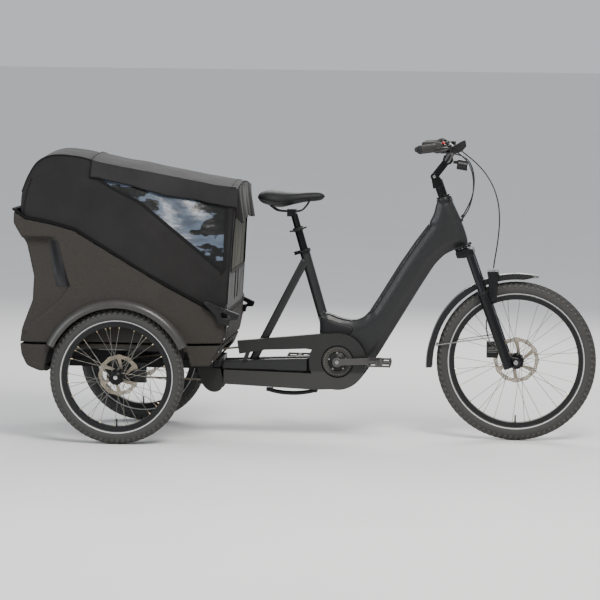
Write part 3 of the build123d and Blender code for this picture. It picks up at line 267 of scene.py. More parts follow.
def rubber(name, colour, rough=0.75):
    """Tyre and grip rubber: dusty, with a fine moulded grain."""
    n = Nodes(name)
    dust = n.noise(35, 6, 0.7)
    tone = n.mix(n.ramp(dust, [(0.4, 0.0), (0.75, 0.7)]), colour, shade(colour, 1.7))
    fine = n.noise(1200, 3, 0.6)
    return n.finish(tone, n.ramp(dust, [(0.3, rough - 0.12), (0.8, rough + 0.12)]), n.bump(fine, 0.3, 0.0005))


def leather(name, colour):
    """Pebbled synthetic leather."""
    n = Nodes(name)
    pebble = n.cells(700)["Distance"]
    drift = n.noise(14, 4, 0.6)
    tone = n.mix(drift, shade(colour, 0.8), shade(colour, 1.3))
    normal = n.bump(pebble, 0.35, 0.0006)
    return n.finish(tone, n.ramp(drift, [(0.3, 0.5), (0.7, 0.68)]), normal, Specular_IOR_Level=0.3)


def film(name, tint, dark, alpha=0.62):
    """Clear flexible window sheet, cockled, with soft patches of painted bluish sky reflection among darker
    patches.
    """
    n = Nodes(name)
    waves = n.noise(7, 3, 0.5, (1, 1, 1.7))
    streak = n.noise(22, 2, 0.5, (0.7, 0.7, 1.4))
    fac = n.math("ADD", n.math("MULTIPLY", waves, 0.7), n.math("MULTIPLY", streak, 0.3))
    # painted reflection: the pale tint stands for sky reflected in the cockled sheet, the dark tone for the
    # sheet between the reflections
    tone = n.mix(n.ramp(fac, [(0.47, 0.0), (0.495, 1.0), (0.6, 0.55)]), dark, tint)
    normal = n.bump(waves, 0.35, 0.02)
    material = n.finish(tone, 0.24, normal, Coat_Weight=0.1, Coat_Roughness=0.06, Specular_IOR_Level=0.3)
    n.shader.inputs["Alpha"].default_value = alpha
    return material


def pleated_film(name, tint, dark, alpha):
    """Clear flexible window sheet hanging in upright folds, with painted shade and light in bands along the
    folds.
    """
    n = Nodes(name)
    folds = n.noise(18, 3, 0.5, (1, 1, 0.06))
    # painted shade and highlight: the folds' noise switches between a dark and a pale tone in upright bands
    tone = n.mix(n.ramp(folds, [(0.4, 0.0), (0.5, 1.0), (0.56, 0.2), (0.62, 1.0)]), dark, tint)
    material = n.finish(tone, 0.5, n.bump(folds, 0.6, 0.02), Specular_IOR_Level=0.1)
    n.shader.inputs["Alpha"].default_value = alpha
    return material


def glow(name, colour, strength):
    """A lamp's or display's lit face behind a moulded lens."""
    n = Nodes(name)
    cell = n.cells(500)["Distance"]
    tone = n.mix(n.ramp(cell, [(0.0, 0.0), (0.6, 1.0)]), shade(colour, 0.6), colour)
    material = n.finish(tone, 0.15, n.bump(cell, 0.4, 0.001), Coat_Weight=0.6)
    n.shader.inputs["Emission Color"].default_value = (*colour, 1)
    n.shader.inputs["Emission Strength"].default_value = strength
    return material


def two_tone(name, upper, lower, split_z, lean):
    """The chain guard's dark upper moulding over a paler lower cover."""
    n = Nodes(name)
    split = n.add("ShaderNodeSeparateXYZ")
    n.link(n.coordinates, split.inputs["Vector"])
    height = n.math("SUBTRACT", split.outputs["Z"], n.math("MULTIPLY", split.outputs["X"], lean))
    above = n.math("MULTIPLY", n.math("SUBTRACT", height, split_z), 400, True)
    mask = n.ramp(above, [(0.0, 0.0), (1.0, 1.0)])
    drift = n.noise(9, 4, 0.6)
    low = n.mix(drift, shade(lower, 0.85), shade(lower, 1.15))
    high = n.mix(drift, shade(upper, 0.8), shade(upper, 1.2))
    normal = n.bump(n.noise(900, 3), 0.15, 0.0006)
    return n.finish(n.mix(mask, low, high), n.ramp(drift, [(0.3, 0.38), (0.7, 0.52)]), normal)


FRAME_GREY = (0.0135, 0.0137, 0.0142)
MAT = {
    "frame": coated("matte_frame_paint", FRAME_GREY, 0.4, wear=0.25, coat=0.12),
    "chassis": coated("chassis_powder_coat", (0.007, 0.007, 0.0072), 0.5, 700, 0.3),
    "foam": speckled("bead_foam", (0.0236, 0.0209, 0.0178)),
    "trim": coated("moulded_trim", (0.007, 0.007, 0.0073), 0.45, 800, 0.3, wear=0.25),
    "arch": coated("arch_trim", (0.038, 0.0362, 0.0333), 0.36, 900, 0.2, coat=0.2, wear=0.15),
    "rail": coated("rail_rubber", (0.004, 0.004, 0.0042), 0.7, 700, 0.2, shine=0.12),
    "facing": coated("recess_facing", (0.0095, 0.0095, 0.0105), 0.5, 900, 0.25),
    "cover": coated("ring_cover", (0.038, 0.036, 0.032), 0.5, 800, 0.25),
    "bracket": coated("bracket_plastic", (0.016, 0.0155, 0.0145), 0.45, 800, 0.3, wear=0.4),
    "canopy": woven("canopy_cloth_painted_fold_shade", (0.0095, 0.0087, 0.0085)),
    # the roof cloth's lighter tone than the canopy's is a painted sky reflection on the cover's top
    "roof": woven("roof_cloth_painted_sky_reflection", (0.0145, 0.014, 0.0143)),
    "binding": woven("binding_tape", (0.004, 0.004, 0.0043), 0.0012, 0.6, sheen=0.04),
    "cushion": woven("seat_cloth", (0.03, 0.031, 0.034), 0.002, 0.7),
    "webbing": woven("harness_webbing", (0.012, 0.012, 0.013), 0.0022, 0.9, 0.7),
    # the side windows' pale bluish tone is a painted sky reflection
    "film": film("window_film", (0.085, 0.108, 0.145), (0.0065, 0.0068, 0.0065), 0.95),
    # the front window's dark and pale tones are painted shade and light in its folds
    "film_front": pleated_film("front_film_painted_fold_shade", (0.085, 0.082, 0.055), (0.012, 0.012, 0.009), 0.94),
    "tyre": rubber("tyre_rubber", (0.026, 0.0252, 0.0238)),
    "tread": rubber("tread_rubber", (0.05, 0.0475, 0.0435), 0.85),
    "stripe": coated("reflective_stripe", (0.5, 0.5, 0.5), 0.35, 1400, 0.3, 0.08),
    "rim": coated("black_rim", (0.007, 0.007, 0.0074), 0.35, 900, 0.1, wear=0.25),
    "spoke": metal("spoke_steel", (0.22, 0.21, 0.19), 0.34),
    "nipple": metal("nipple_brass", (0.6, 0.49, 0.31), 0.32),
    "hub": coated("hub_anodised", (0.009, 0.009, 0.0095), 0.3, 900, 0.1, metal=0.5),
    "rotor": metal("rotor_steel", (0.36, 0.31, 0.24), 0.34, (1, 1, 1), 300),
    "steel": metal("plain_steel", (0.3, 0.3, 0.3), 0.35),
    "bolt": metal("bolt_steel", (0.6, 0.6, 0.6), 0.25),
    "chain": metal("chain_steel", (0.17, 0.15, 0.125), 0.4),
    "guard": two_tone("chain_guard", (0.0045, 0.0045, 0.0036), (0.0212, 0.0205, 0.0188), 0.262, -0.02),
    "drive": coated("drive_casting", (0.011, 0.011, 0.011), 0.45, 500, 0.4),
    "crank": coated("crank_anodised", (0.075, 0.072, 0.068), 0.36, 900, 0.15, metal=0.5, wear=0.4),
    "pedal": coated("pedal_plastic", (0.03, 0.0285, 0.027), 0.55, 600, 0.4, wear=0.6),
    "post": coated("post_anodised", (0.006, 0.006, 0.0064), 0.28, 900, 0.1, metal=0.4, wear=0.25),
    "saddle": leather("saddle_cover", (0.008, 0.0082, 0.009)),
    "fork": coated("fork_paint", (0.0042, 0.0044, 0.005), 0.3, 900, 0.1, coat=0.15, wear=0.2, shine=0.2),
    "stanchion": coated("stanchion_black", (0.012, 0.013, 0.016), 0.1, 1200, 0.05, metal=0.8, coat=0.5),
    "mudguard": coated("mudguard_satin", (0.008, 0.008, 0.0082), 0.3, 900, 0.08, coat=0.2),
    "bar": coated("bar_anodised", (0.006, 0.006, 0.0064), 0.3, 900, 0.12, metal=0.4, wear=0.25),
    "grip": rubber("grip_rubber", (0.019, 0.0175, 0.0155), 0.75),
    "lamp": coated("lamp_body", (0.0065, 0.0065, 0.007), 0.42, 900, 0.1, coat=0.1),
    "lens": glow("lamp_lens", (0.85, 0.9, 1.0), 0.6),
    "display": glow("display_glass", (0.05, 0.08, 0.12), 0.3),
    "red": coated("red_button", (0.5, 0.012, 0.016), 0.35, 900, 0.1),
    "sheath": coated("cable_sheath", (0.005, 0.005, 0.0053), 0.38, 900, 0.1, coat=0.2),
}

# each finish, and the CAD nodes that have it
FINISHED_NODES = {
    "foam": "box_shell box_base",
    "rail": "rim_rail",
    "arch": "wheel_arches",
    "trim": "side_handles battery kickstand control_pods",
    "cushion": "seat_cushions",
    "canopy": "canopy_cover",
    "film": "canopy_windows",
    "chassis": "rear_chassis tilt_housing rear_calipers differential_housing",
    "chain": "chain_rear chain_front",
    "steel": "rear_sprocket crank_spindle",
    "drive": "chainring drive_unit",
    "frame": "main_frame rear_frame battery_cover",
    "guard": "chain_guard",
    "post": "seat_clamp seatpost_lower seatpost_upper",
    "lamp": "seat_clamp_lever headlight",
    "crank": "crank_arms",
    "pedal": "right_pedal left_pedal",
    "saddle": "saddle",
    "fork": "fork_upper fork_lowers front_caliper front_axle",
    "mudguard": "mudguard",
    "bar": "stem_base stem_link handlebar right_brake_lever left_brake_lever",
    "grip": "grips",
    "sheath": "front_brake_hose control_cables",
    "tyre": "front_tyre right_rear_tyre left_rear_tyre",
    "rim": "front_rim right_rear_rim left_rear_rim",
    "spoke": "front_spokes right_rear_spokes left_rear_spokes",
    "hub": "front_hub right_rear_hub left_rear_hub",
    "rotor": "front_rotor",
}
NODE_MATERIALS = {node: finish for finish, nodes in FINISHED_NODES.items() for node in nodes.split()}

# edge radius of each CAD node that stays in view
BEVELS = {
    "rim_rail": 0.003,
    "rear_chassis": 0.004,
    "battery_cover": 0.003,
    "chain_guard": 0.003,
    "seat_clamp": 0.0015,
    "seat_clamp_lever": 0.001,
    "front_rim": 0.002,
    "right_rear_rim": 0.002,
    "left_rear_rim": 0.002,
    "seatpost_upper": 0.002,
}
# the sharpest edge that is shaded smooth, on trims, small turned parts, crowned forms, cloth and castings
SMOOTH_ANGLE = radians(32)
CRISP = radians(35)
CROWNED = radians(40)
SOFT = radians(50)
CAST = radians(60)


def modify(obj, kind, **settings):
    """Adds a modifier of a kind, with its settings."""
    modifier = obj.modifiers.new(kind.lower(), kind)
    for key, value in settings.items():
        setattr(modifier, key, value)


def add_object(name, data):
    """A new object in the scene."""
    obj = bpy.data.objects.new(name, data)
    bpy.context.scene.collection.objects.link(obj)
    return obj


def smooth(obj, angle=SMOOTH_ANGLE):
    """Shades a mesh smooth except across edges sharper than an angle."""
    mesh = obj.data
    for polygon in mesh.polygons:
        polygon.use_smooth = True
    bm = bmesh.new()
    bm.from_mesh(mesh)
    for edge in bm.edges:
        sharp = len(edge.link_faces) == 2 and edge.calc_face_angle(0) > angle
        edge.smooth = not sharp
    bm.to_mesh(mesh)
    bm.free()


for node_name, obj in NODES.items():
    obj.data.materials.clear()
    obj.data.materials.append(MAT[NODE_MATERIALS[node_name]])
    if node_name in BEVELS:
        modify(obj, "WELD", merge_threshold=1e-5)
        modify(obj, "BEVEL", width=BEVELS[node_name], segments=3, angle_limit=CROWNED)


def between(a, b, t):
    return a + (b - a) * t


def angles(count):
    """Evenly spaced angles of one whole turn."""
    return [2 * pi * i / count for i in range(count)]


def shares(count):
    """Evenly spaced shares from 0 to 1."""
    return [i / count for i in range(count + 1)]


def spun(r, a, y=0.0):
    """An offset at a distance and an angle round an axis across the machine, and y along that axis."""
    return Vector((r * cos(a), y, r * sin(a)))


def interpolate(points, x):
    """Height of a broken line at x."""
    for (x0, z0), (x1, z1) in zip(points, points[1:]):
        if x <= x1:
            return between(z0, z1, max(0.0, (x - x0) / (x1 - x0)))
    return points[-1][1]


def flowing(values, t):
    """A smooth curve through evenly numbered values, at a place t from 0 to their last number."""
    i = min(int(t), len(values) - 2)
    f = t - i
    a = values[max(i - 1, 0)]
    b, c = values[i], values[i + 1]
    d = values[min(i + 2, len(values) - 1)]
    return 0.5 * (2 * b + (c - a) * f + (2 * a - 5 * b + 4 * c - d) * f**2 + (3 * b - 3 * c + d - a) * f**3)


def smooth_line(points, per_span=8):
    """Points along a smooth curve through hand-set points."""
    total = (len(points) - 1) * per_span
    return [flowing(points, i / per_span) for i in range(total + 1)]


def skin(rings, around=True, loop=False, caps=False):
    """Vertices and faces of a surface through rings of points."""
    count = len(rings[0])
    verts = [point for ring in rings for point in ring]
    faces = []
    spans = len(rings) if loop else len(rings) - 1
    steps = count if around else count - 1
    for i in range(spans):
        a, b = i * count, (i + 1) % len(rings) * count
        for j in range(steps):
            k = (j + 1) % count
            faces.append((a + j, a + k, b + k, b + j))
    if caps:
        faces.append(tuple(range(count))[::-1])
        faces.append(tuple(range(len(verts) - count, len(verts))))
    return verts, faces


def make_mesh(name, verts, faces):
    """A mesh with its faces turned outward."""
    mesh = bpy.data.meshes.new(name)
    mesh.from_pydata([tuple(v) for v in verts], [], faces)
    bm = bmesh.new()
    bm.from_mesh(mesh)
    bmesh.ops.recalc_face_normals(bm, faces=bm.faces)
    bm.to_mesh(mesh)
    bm.free()
    return mesh


def joined(parts):
    """One list of vertices and faces from several."""
    verts, faces = [], []
    for part_verts, part_faces in parts:
        start = len(verts)
        verts += part_verts
        faces += [tuple(start + i for i in face) for face in part_faces]
    return verts, faces


def dress(obj, finish, body, replaces=(), angle=SMOOTH_ANGLE):
    """Gives a piece its finish, the body that it rides on and the nodes that it stands for."""
    obj.data.materials.clear()
    obj.data.materials.append(MAT[finish])
    smooth(obj, angle)
    if body:
        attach(obj, body)
    if replaces:
        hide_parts(*replaces)
    return obj


def place(name, shape, finish, body, replaces=(), angle=SMOOTH_ANGLE, bevel=0.0):
    """A new piece from a mesh or from vertices and faces, finished and riding on a body."""
    mesh = shape if isinstance(shape, bpy.types.Mesh) else make_mesh(name, *shape)
    obj = dress(add_object(name, mesh), finish, body, replaces, angle)
    if bevel:
        modify(obj, "BEVEL", width=bevel, segments=3, angle_limit=CRISP)
    return obj


def frames_along(points):
    """Unit side and up directions at each point of a path, carried along without twisting."""
    tangents = []
    for i in range(len(points)):
        ahead = points[min(i + 1, len(points) - 1)] - points[max(i - 1, 0)]
        tangents.append(ahead.normalized())
    start = Vector((0, 0, 1)) if abs(tangents[0].z) < 0.9 else Vector((0, 1, 0))
    side = tangents[0].cross(start).normalized()
    frames = []
    for tangent in tangents:
        side = (side - tangent * side.dot(tangent)).normalized()
        frames.append((side, tangent.cross(side)))
    return frames


def tube(points, radius, sides=12):
    """A round tube along points; radius is one number or one for each point."""
    rings = []
    for i, (point, (side, up)) in enumerate(zip(points, frames_along(points))):
        r = radius[i] if hasattr(radius, "__len__") else radius
        rings.append([point + (side * (r * cos(a)) + up * (r * sin(a))) for a in angles(sides)])
    return skin(rings, caps=True)


def strip(points, width, thickness, across):
    """A flat strap along points, as wide as width along the direction across."""
    rings = []
    for point, (side, up) in zip(points, frames_along(points)):
        tangent = side.cross(up)
        flat_way = (across - tangent * across.dot(tangent)).normalized()
        thick_way = tangent.cross(flat_way)
        w, t = flat_way * (width / 2), thick_way * (thickness / 2)
        rings.append([point - w - t, point + w - t, point + w + t, point - w + t])
    return skin(rings, caps=True)


def turned(profile, centre, axis=(0, 1, 0), steps=48):
    """A turned form: the profile gives distance from the axis and place along it, in metres."""
    axis = Vector(axis).normalized()
    side = axis.orthogonal().normalized()
    up = axis.cross(side)
    rings = []
    for a in angles(steps):
        out = side * cos(a) + up * sin(a)
        rings.append([centre + out * r + axis * along for r, along in profile])
    return skin(rings, loop=True)


def turned_mm(profile, *place_and_axis, steps=48):
    """A turned form whose profile is in millimetres."""
    return turned([(r / 1000, along / 1000) for r, along in profile], *place_and_axis, steps=steps)


def button(centre, axis, radius, height, steps=16, dome=0.35):
    """A small turned boss or bolt head with a rounded shoulder."""
    shoulder = min(radius, height) * dome
    profile = [(0.0001, 0), (radius, 0), (radius, height - shoulder)]
    bend = shoulder * 0.3
    profile += [(radius - bend, height - bend), (radius - shoulder, height), (0.0001, height)]
    return turned(profile, centre, axis, steps)


def bake(obj):
    """Makes an object's modifiers part of its mesh."""
    bpy.context.view_layer.update()
    graph = bpy.context.evaluated_depsgraph_get()
    mesh = bpy.data.meshes.new_from_object(obj.evaluated_get(graph))
    obj.modifiers.clear()
    obj.data = mesh
    return mesh


def carve(obj, cutter, operation="DIFFERENCE"):
    """Cuts one object with another, which is used up."""
    modify(obj, "BOOLEAN", operation=operation, solver="EXACT", object=cutter)
    bake(obj)
    bpy.data.objects.remove(cutter)


def loose(name, shape):
    """A working object that isn't part of the model."""
    return add_object(name, make_mesh(name, *shape))


def moved(shape, offset):
    verts, faces = shape
    return [v + offset for v in verts], faces


BODY_OF = {node: body for body, nodes in frame["record"]["behaviour"]["bodies"].items() for node in nodes}


def softened(node, voxel, rounds, keep, reshape=None):
    """A CAD node's form with its edges rounded over, in place of the node."""
    obj = add_object(f"{node}_form", NODES[node].data.copy())
    modify(obj, "REMESH", mode="VOXEL", voxel_size=voxel)
    if reshape:
        reshape(bake(obj))
    modify(obj, "SMOOTH", factor=0.5, iterations=rounds)
    modify(obj, "DECIMATE", ratio=keep)
    bake(obj)
    return dress(obj, NODE_MATERIALS[node], BODY_OF[node], [node], CAST)


# ---- wheels ----


def tyre_section(radius, width, from_angle=-140, to_angle=140, lift=0.0, steps=29):
    """Part of the tyre's round outside, as distance from the wheel's axis and place along it."""
    half = width / 2
    centre = radius - half
    crown = half - 0.003
    points = []
    for i in range(steps):
        a = radians(between(from_angle, to_angle, i / (steps - 1)))
        points.append((centre + (crown + lift) * cos(a), (half + lift) * sin(a)))
    return points


def tread_blocks(radius, width, pitches):
    """Moulded blocks round the crown: arrow pairs in the middle and bars out to the shoulders."""
    half = width / 2
    section_centre = radius - half
    # for each row, its edges in degrees round the tyre's section, its share of a pitch, and its skew
    rows = [(-6, 15, 0.42, 0.34), (23, 43, 0.42, -0.2), (49, 71, 0.5, 0.12)]
    parts = []
    for i in range(pitches):
        for low, high, share, skew in rows:
            for side in (-1, 1):
                start = i + (0.5 if side > 0 else 0)
                corners = []
                for lift, inset in ((-0.001, 0.0), (0.003, 0.1)):
                    for t, edge in ((low, 0), (low, 1), (high, 1), (high, 0)):
                        slant = skew * (t - low) / (high - low)
                        along = start + slant + share * (inset if edge == 0 else 1 - inset)
                        tilt = radians(side * between(t, (low + high) / 2, inset))
                        turn = 2 * pi * along / pitches
                        r = section_centre + (half - 0.003 + lift) * cos(tilt)
                        corners.append(spun(r, turn, (half + lift) * sin(tilt)))
                faces = [(0, 1, 2, 3), (4, 5, 6, 7)]
                faces += [(k, (k + 1) % 4, 4 + (k + 1) % 4, 4 + k) for k in range(4)]
                parts.append((corners, faces))
    return joined(parts)


def rotor_mesh(name, radius, windows):
    """A brake disc: a wavy perforated band on slanted arms round a carrier."""
    curve = bpy.data.curves.new(name, "CURVE")
    curve.dimensions = "2D"
    curve.fill_mode = "BOTH"
    curve.extrude = 0.0009

    def ring(points):
        spline = curve.splines.new("POLY")
        spline.points.add(len(points) - 1)
        for target, (r, a, x, y) in zip(spline.points, points):
            target.co = (x + r * cos(a), y + r * sin(a), 0, 1)
        spline.use_cyclic_u = True

    ring([(radius - 0.0015 + 0.0015 * cos(12 * a), a, 0, 0) for a in angles(180)])
    ring([(0.0125, a, 0, 0) for a in angles(32)])
    band = radius - 0.0168
    for middle in angles(windows):
        reach = 2 * pi / windows - 0.17
        outer = [(band, middle + reach * (k / 8 - 0.5) * 0.92, 0, 0) for k in range(9)]
        inner = [(0.024, middle - 0.5 + reach * (0.5 - k / 4) * 0.66, 0, 0) for k in range(5)]
        ring(outer + inner)
    for row in range(3):
        for i in range(48):
            if (i + row) % 4 != 3:
                turn = 2 * pi * (i + row / 3) / 48
                r = band + 0.0032 + row * 0.0041
                ring([(0.0015, a, r * cos(turn), r * sin(turn)) for a in angles(8)])
    source = add_object(name, curve)
    bpy.context.view_layer.update()
    mesh = bpy.data.meshes.new_from_object(source)
    bpy.data.objects.remove(source)
    mesh.transform(Matrix.Rotation(radians(90), 4, "X"))
    return mesh


BAND_ANGLES = (124, 134)
NIPPLE_DEPTH = 0.039
SPOKES_EACH_SIDE = 16
SPOKE_LEAD = radians(42)


def build_wheel(name, body, centre, radius, width, pitches):
    """A wheel's casing, tread, reflective bands, nipples and valve."""
    bead = radius - width + 0.0045
    section = tyre_section(radius, width) + [(bead, width * 0.27), (bead, -width * 0.27)]
    tyre = turned(section, centre, steps=160)
    place(f"{name}_tyre_casing", tyre, "tyre", body, [f"{name}_tyre"], SOFT)
    place(f"{name}_tread", moved(tread_blocks(radius, width, pitches), centre), "tread", body)
    bands = []
    for side in (-1, 1):
        low, high = (side * angle for angle in BAND_ANGLES)
        outer = tyre_section(radius, width, low, high, 0.0006, 5)
        inner = tyre_section(radius, width, high, low, -0.002, 5)
        bands.append(turned(outer + inner, centre, steps=160))
    place(f"{name}_reflective_bands", joined(bands), "stripe", body)
    nipples = []
    rim_radius = radius - width / 2 - NIPPLE_DEPTH
    for side in (-1, 1):
        for i in range(SPOKES_EACH_SIDE):
            hub_angle = 2 * pi * (i + side * 0.25) / SPOKES_EACH_SIDE
            lead = 1 if i % 2 else -1
            rim_angle = hub_angle + SPOKE_LEAD * lead
            hub_end = centre + spun(0.026, hub_angle, side * 0.024)
            rim_end = centre + spun(rim_radius, rim_angle, side * 0.004)
            inward = (hub_end - rim_end).normalized()
            line = [rim_end + inward * reach for reach in (-0.003, 0.006, 0.009)]
            nipples.append(tube(line, [0.0025, 0.0023, 0.0015], 8))
    place(f"{name}_nipples", joined(nipples), "nipple", body)
    stem = [centre + Vector((0, 0, up - rim_radius - 0.004)) for up in (0, 0.018, 0.034)]
    place(f"{name}_valve", tube(stem, [0.004, 0.003, 0.0028], 10), "trim", body)


def brake_disc(name, radius, centre, body, replaces=()):
    """A brake disc with six windows, standing across an axle."""
    mesh = rotor_mesh(name, radius, 6)
    mesh.transform(Matrix.Translation(centre))
    place(name, mesh, "rotor", body, replaces, radians(30))


FRONT_CENTRE = mm(WHEELBASE, 0, FRONT_RADIUS)
FRONT_DISC_Y = 38
REAR_DISC_Y = 335
build_wheel("front", "front_wheel", FRONT_CENTRE, FRONT_RADIUS / 1000, 0.060, 84)
front_disc_centre = mm(WHEELBASE, FRONT_DISC_Y, FRONT_RADIUS)
brake_disc("front_brake_disc", 0.090, front_disc_centre, "front_wheel", ["front_rotor"])
carrier = turned_mm([(8, 30), (24, 30), (24, 36.5), (20, 41), (8, 41)], FRONT_CENTRE)
place("front_disc_carrier", carrier, "hub", "front_wheel")

# the half shaft and hub shell, as radius and distance from the machine's middle
HUB_PROFILE = [(0.1, 62), (11.8, 62), (11.8, 318), (18, 330), (24, 332), (24, 339), (19, 341), (19, 357)]
HUB_PROFILE += [(30, 358), (30, 363.5), (22, 366), (19, 372), (19, 397), (22, 404), (30, 406.5), (30, 411)]
HUB_PROFILE += [(21, 412), (20, 418), (16.5, 420), (16.5, 427), (14, 429), (0.1, 429)]
for name, side in SIDES:
    body = f"{name}_rear_wheel"
    wheel_centre = mm(0, side * REAR_WHEEL_Y, REAR_RADIUS)
    build_wheel(f"{name}_rear", body, wheel_centre, REAR_RADIUS / 1000, 0.057, 72)
    brake_disc(f"{name}_rear_brake_disc", 0.080, mm(0, side * REAR_DISC_Y, REAR_RADIUS), body)
    shell = turned_mm([(r, side * y) for r, y in HUB_PROFILE], mm(0, 0, REAR_RADIUS), steps=40)
    place(f"{name}_rear_hub_shell", shell, "hub", body, [f"{name}_rear_hub"], radians(25))
    cap = button(mm(0, side * 428.4, REAR_RADIUS), (0, side, 0), 0.0085, 0.0016, 6, 0.3)
    place(f"{name}_rear_hub_bolt", cap, "bolt", body)

# ---- hood ----
# the box's rim, as distance ahead and height
RIM_LINE = [(-411, 893), (-364, 863), (-271, 846), (-173, 820), (-76, 764), (360, 513), (416, 506)]
# sections of the hood, from its back to its front, in the order that hood_numbers says
STATIONS = [
    (-384, 340, 318, 962),
    (-364, 348, 285, 1024),
    (-330, 352, 262, 1078),
    (-271, 353, 247, 1102),
    (-173, 357, 240, 1096),
    (-76, 364, 240, 1072),
    (150, 381, 240, 1032),
    (360, 311, 240, 994),
    (412, 291, 240, 985),
]
SIDE_BULGE = 12
ROOF_CROWN = 18
FRONT_LEAN = 26
SIDE_STEPS = 30
ROOF_STEPS = 36
RAIL_TOP = 10.5


def hood_numbers(place_along):
    """Distance ahead, half widths at the rim and the roof seam, and the seam's height, along the stations."""
    return [flowing([station[k] for station in STATIONS], place_along) for k in range(4)]


def place_at(x):
    """Where a distance ahead falls along the stations."""
    low, high = 0.0, len(STATIONS) - 1.0
    for _ in range(30):
        middle = (low + high) / 2
        if hood_numbers(middle)[0] < x:
            low = middle
        else:
            high = middle
    return low


def crease(x, y, z, size, depth):
    """Soft wrinkles: slow billows crossed by slanting folds."""
    slow = noise.noise(Vector((x, y, z)) / (size * 2.2))
    fold = noise.noise(Vector((x + z * 0.9, y * 0.7, (z - x * 0.5) * 0.35)) / size)
    return depth * (0.6 * slow + 0.8 * fold)


def hood_section(place_along):
    """Points of the hood's cloth from the right rim over the roof to the left rim, in millimetres."""
    x, rim_half, seam_half, seam_z = hood_numbers(place_along)
    low = interpolate(RIM_LINE, x) + RAIL_TOP
    lean = FRONT_LEAN * max(0.0, place_along - (len(STATIONS) - 2))
    points = []
    for t in shares(SIDE_STEPS):
        fade = sin(pi * t)
        y = between(rim_half, seam_half, t) + SIDE_BULGE * 4 * t * (1 - t)
        z = between(low, seam_z, t)
        y += fade * crease(x, y, z, 70, 5)
        points.append((x + lean * t, -y, z))
    for j in range(1, ROOF_STEPS):
        u = 2 * j / ROOF_STEPS - 1
        z = seam_z + ROOF_CROWN * (1 - u * u) + (1 - u * u) * crease(x, u * seam_half, 0, 90, 4)
        points.append((x + lean, u * seam_half, z))
    points += [(px, -py, pz) for px, py, pz in points[SIDE_STEPS::-1]]
    return points


SECTIONS_EACH = 12


def hood_grid():
    """The hood's whole cloth as one grid: sides and roof in sections, with both ends closed."""
    spans = (len(STATIONS) - 1) * SECTIONS_EACH
    sections = [hood_section(i / SECTIONS_EACH) for i in range(spans + 1)]
    width = len(sections[0])
    verts = [mm(*p) for section in sections for p in section]
    faces = []
    for i in range(spans):
        for j in range(width - 1):
            a = i * width + j
            faces.append((a, a + 1, a + 1 + width, a + width))
    for end, bulge in ((0, -9), (spans, 0)):
        base = end * width
        right = [base + k for k in range(SIDE_STEPS + 1)]
        left = [base + width - 1 - k for k in range(SIDE_STEPS + 1)]
        roof = [base + SIDE_STEPS + j for j in range(ROOF_STEPS + 1)]
        index = {}
        for k in range(SIDE_STEPS + 1):
            for j in range(ROOF_STEPS + 1):
                if j == 0:
                    index[k, j] = right[k]
                elif j == ROOF_STEPS:
                    index[k, j] = left[k]
                elif k == SIDE_STEPS:
                    index[k, j] = roof[j]
                else:
                    u, v = j / ROOF_STEPS, k / SIDE_STEPS
                    across = between(verts[right[k]], verts[left[k]], u)
                    sill = between(verts[right[0]], verts[left[0]], u)
                    up = between(sill, verts[roof[j]], v)
                    corners = between(sill, between(verts[roof[0]], verts[roof[-1]], u), v)
                    point = across + up - corners
                    swell = sin(pi * u) * sin(pi * v)
                    fold = crease(point.x * 1000, point.y * 1000 * 1.6, point.z * 300, 45, 5)
                    point.x += (swell * bulge + min(1, 3 * swell) * fold) / 1000
                    index[k, j] = len(verts)
                    verts.append(point)
        for k in range(SIDE_STEPS):
            for j in range(ROOF_STEPS):
                faces.append((index[k, j], index[k, j + 1], index[k + 1, j + 1], index[k + 1, j]))
    return verts, faces


def prism(points, low, high, axis):
    """A block with an outline seen from the side, for axis y, or from the front, for axis x."""
    rings = []
    for depth in (low, high):
        rings.append([mm(p, depth, q) if axis == "y" else mm(depth, p, q) for p, q in points])
    return skin(rings, caps=True)


def rounded(points, radius, steps=6):
    """A closed outline with its corners rounded."""
    result = []
    count = len(points)
    for i, corner in enumerate(points):
        p = Vector(corner)
        before = Vector(points[i - 1]) - p
        after = Vector(points[(i + 1) % count]) - p
        reach = min(radius, before.length * 0.45, after.length * 0.45)
        a, b = p + before.normalized() * reach, p + after.normalized() * reach
        for k in range(steps + 1):
            t = k / steps
            result.append(tuple(a * (1 - t) ** 2 + p * 2 * t * (1 - t) + b * t * t))
    return result


def grown(points, amount):
    """A closed outline moved outward from its middle by about an amount."""
    middle = Vector((sum(p[0] for p in points) / len(points), sum(p[1] for p in points) / len(points)))
    return [tuple(Vector(p) + (Vector(p) - middle).normalized() * amount) for p in points]


SIDE_WINDOW = [(-104, 1022), (-33, 980), (73, 928), (229, 805), (366, 692), (398, 676), (404, 930)]
SIDE_WINDOW = rounded(SIDE_WINDOW + [(-40, 1026)], 24)
FRONT_WINDOW = rounded([(-262, 664), (262, 664), (222, 930), (-222, 930)], 30)

cloth_verts, cloth_faces = hood_grid()
cloth_mesh = make_mesh("hood_cloth", cloth_verts, cloth_faces)


def surface_of(mesh):
    """A mesh's surface, to be hit by rays."""
    return BVHTree.FromPolygons([v.co for v in mesh.vertices], [tuple(p.vertices) for p in mesh.polygons])


CLOTH = surface_of(cloth_mesh)
BEYOND_CLOTH = 600


def on_side(x, z, side, proud=0.0):
    """The point of the hood's side cloth seen at x, z from one side, standing proud of it."""
    start = mm(x, side * BEYOND_CLOTH, z)
    hit, normal, _, _ = CLOTH.ray_cast(start, Vector((0, -side, 0)))
    if hit is None or abs(hit.y) < 0.2:
        y = between(0.381, 0.24, max(0.0, min(1.0, (z - 600) / 430)))
        return Vector((start.x, side * (y + proud / 1000), start.z))
    if normal.y * side < 0:
        normal = -normal
    return hit + normal * (proud / 1000)


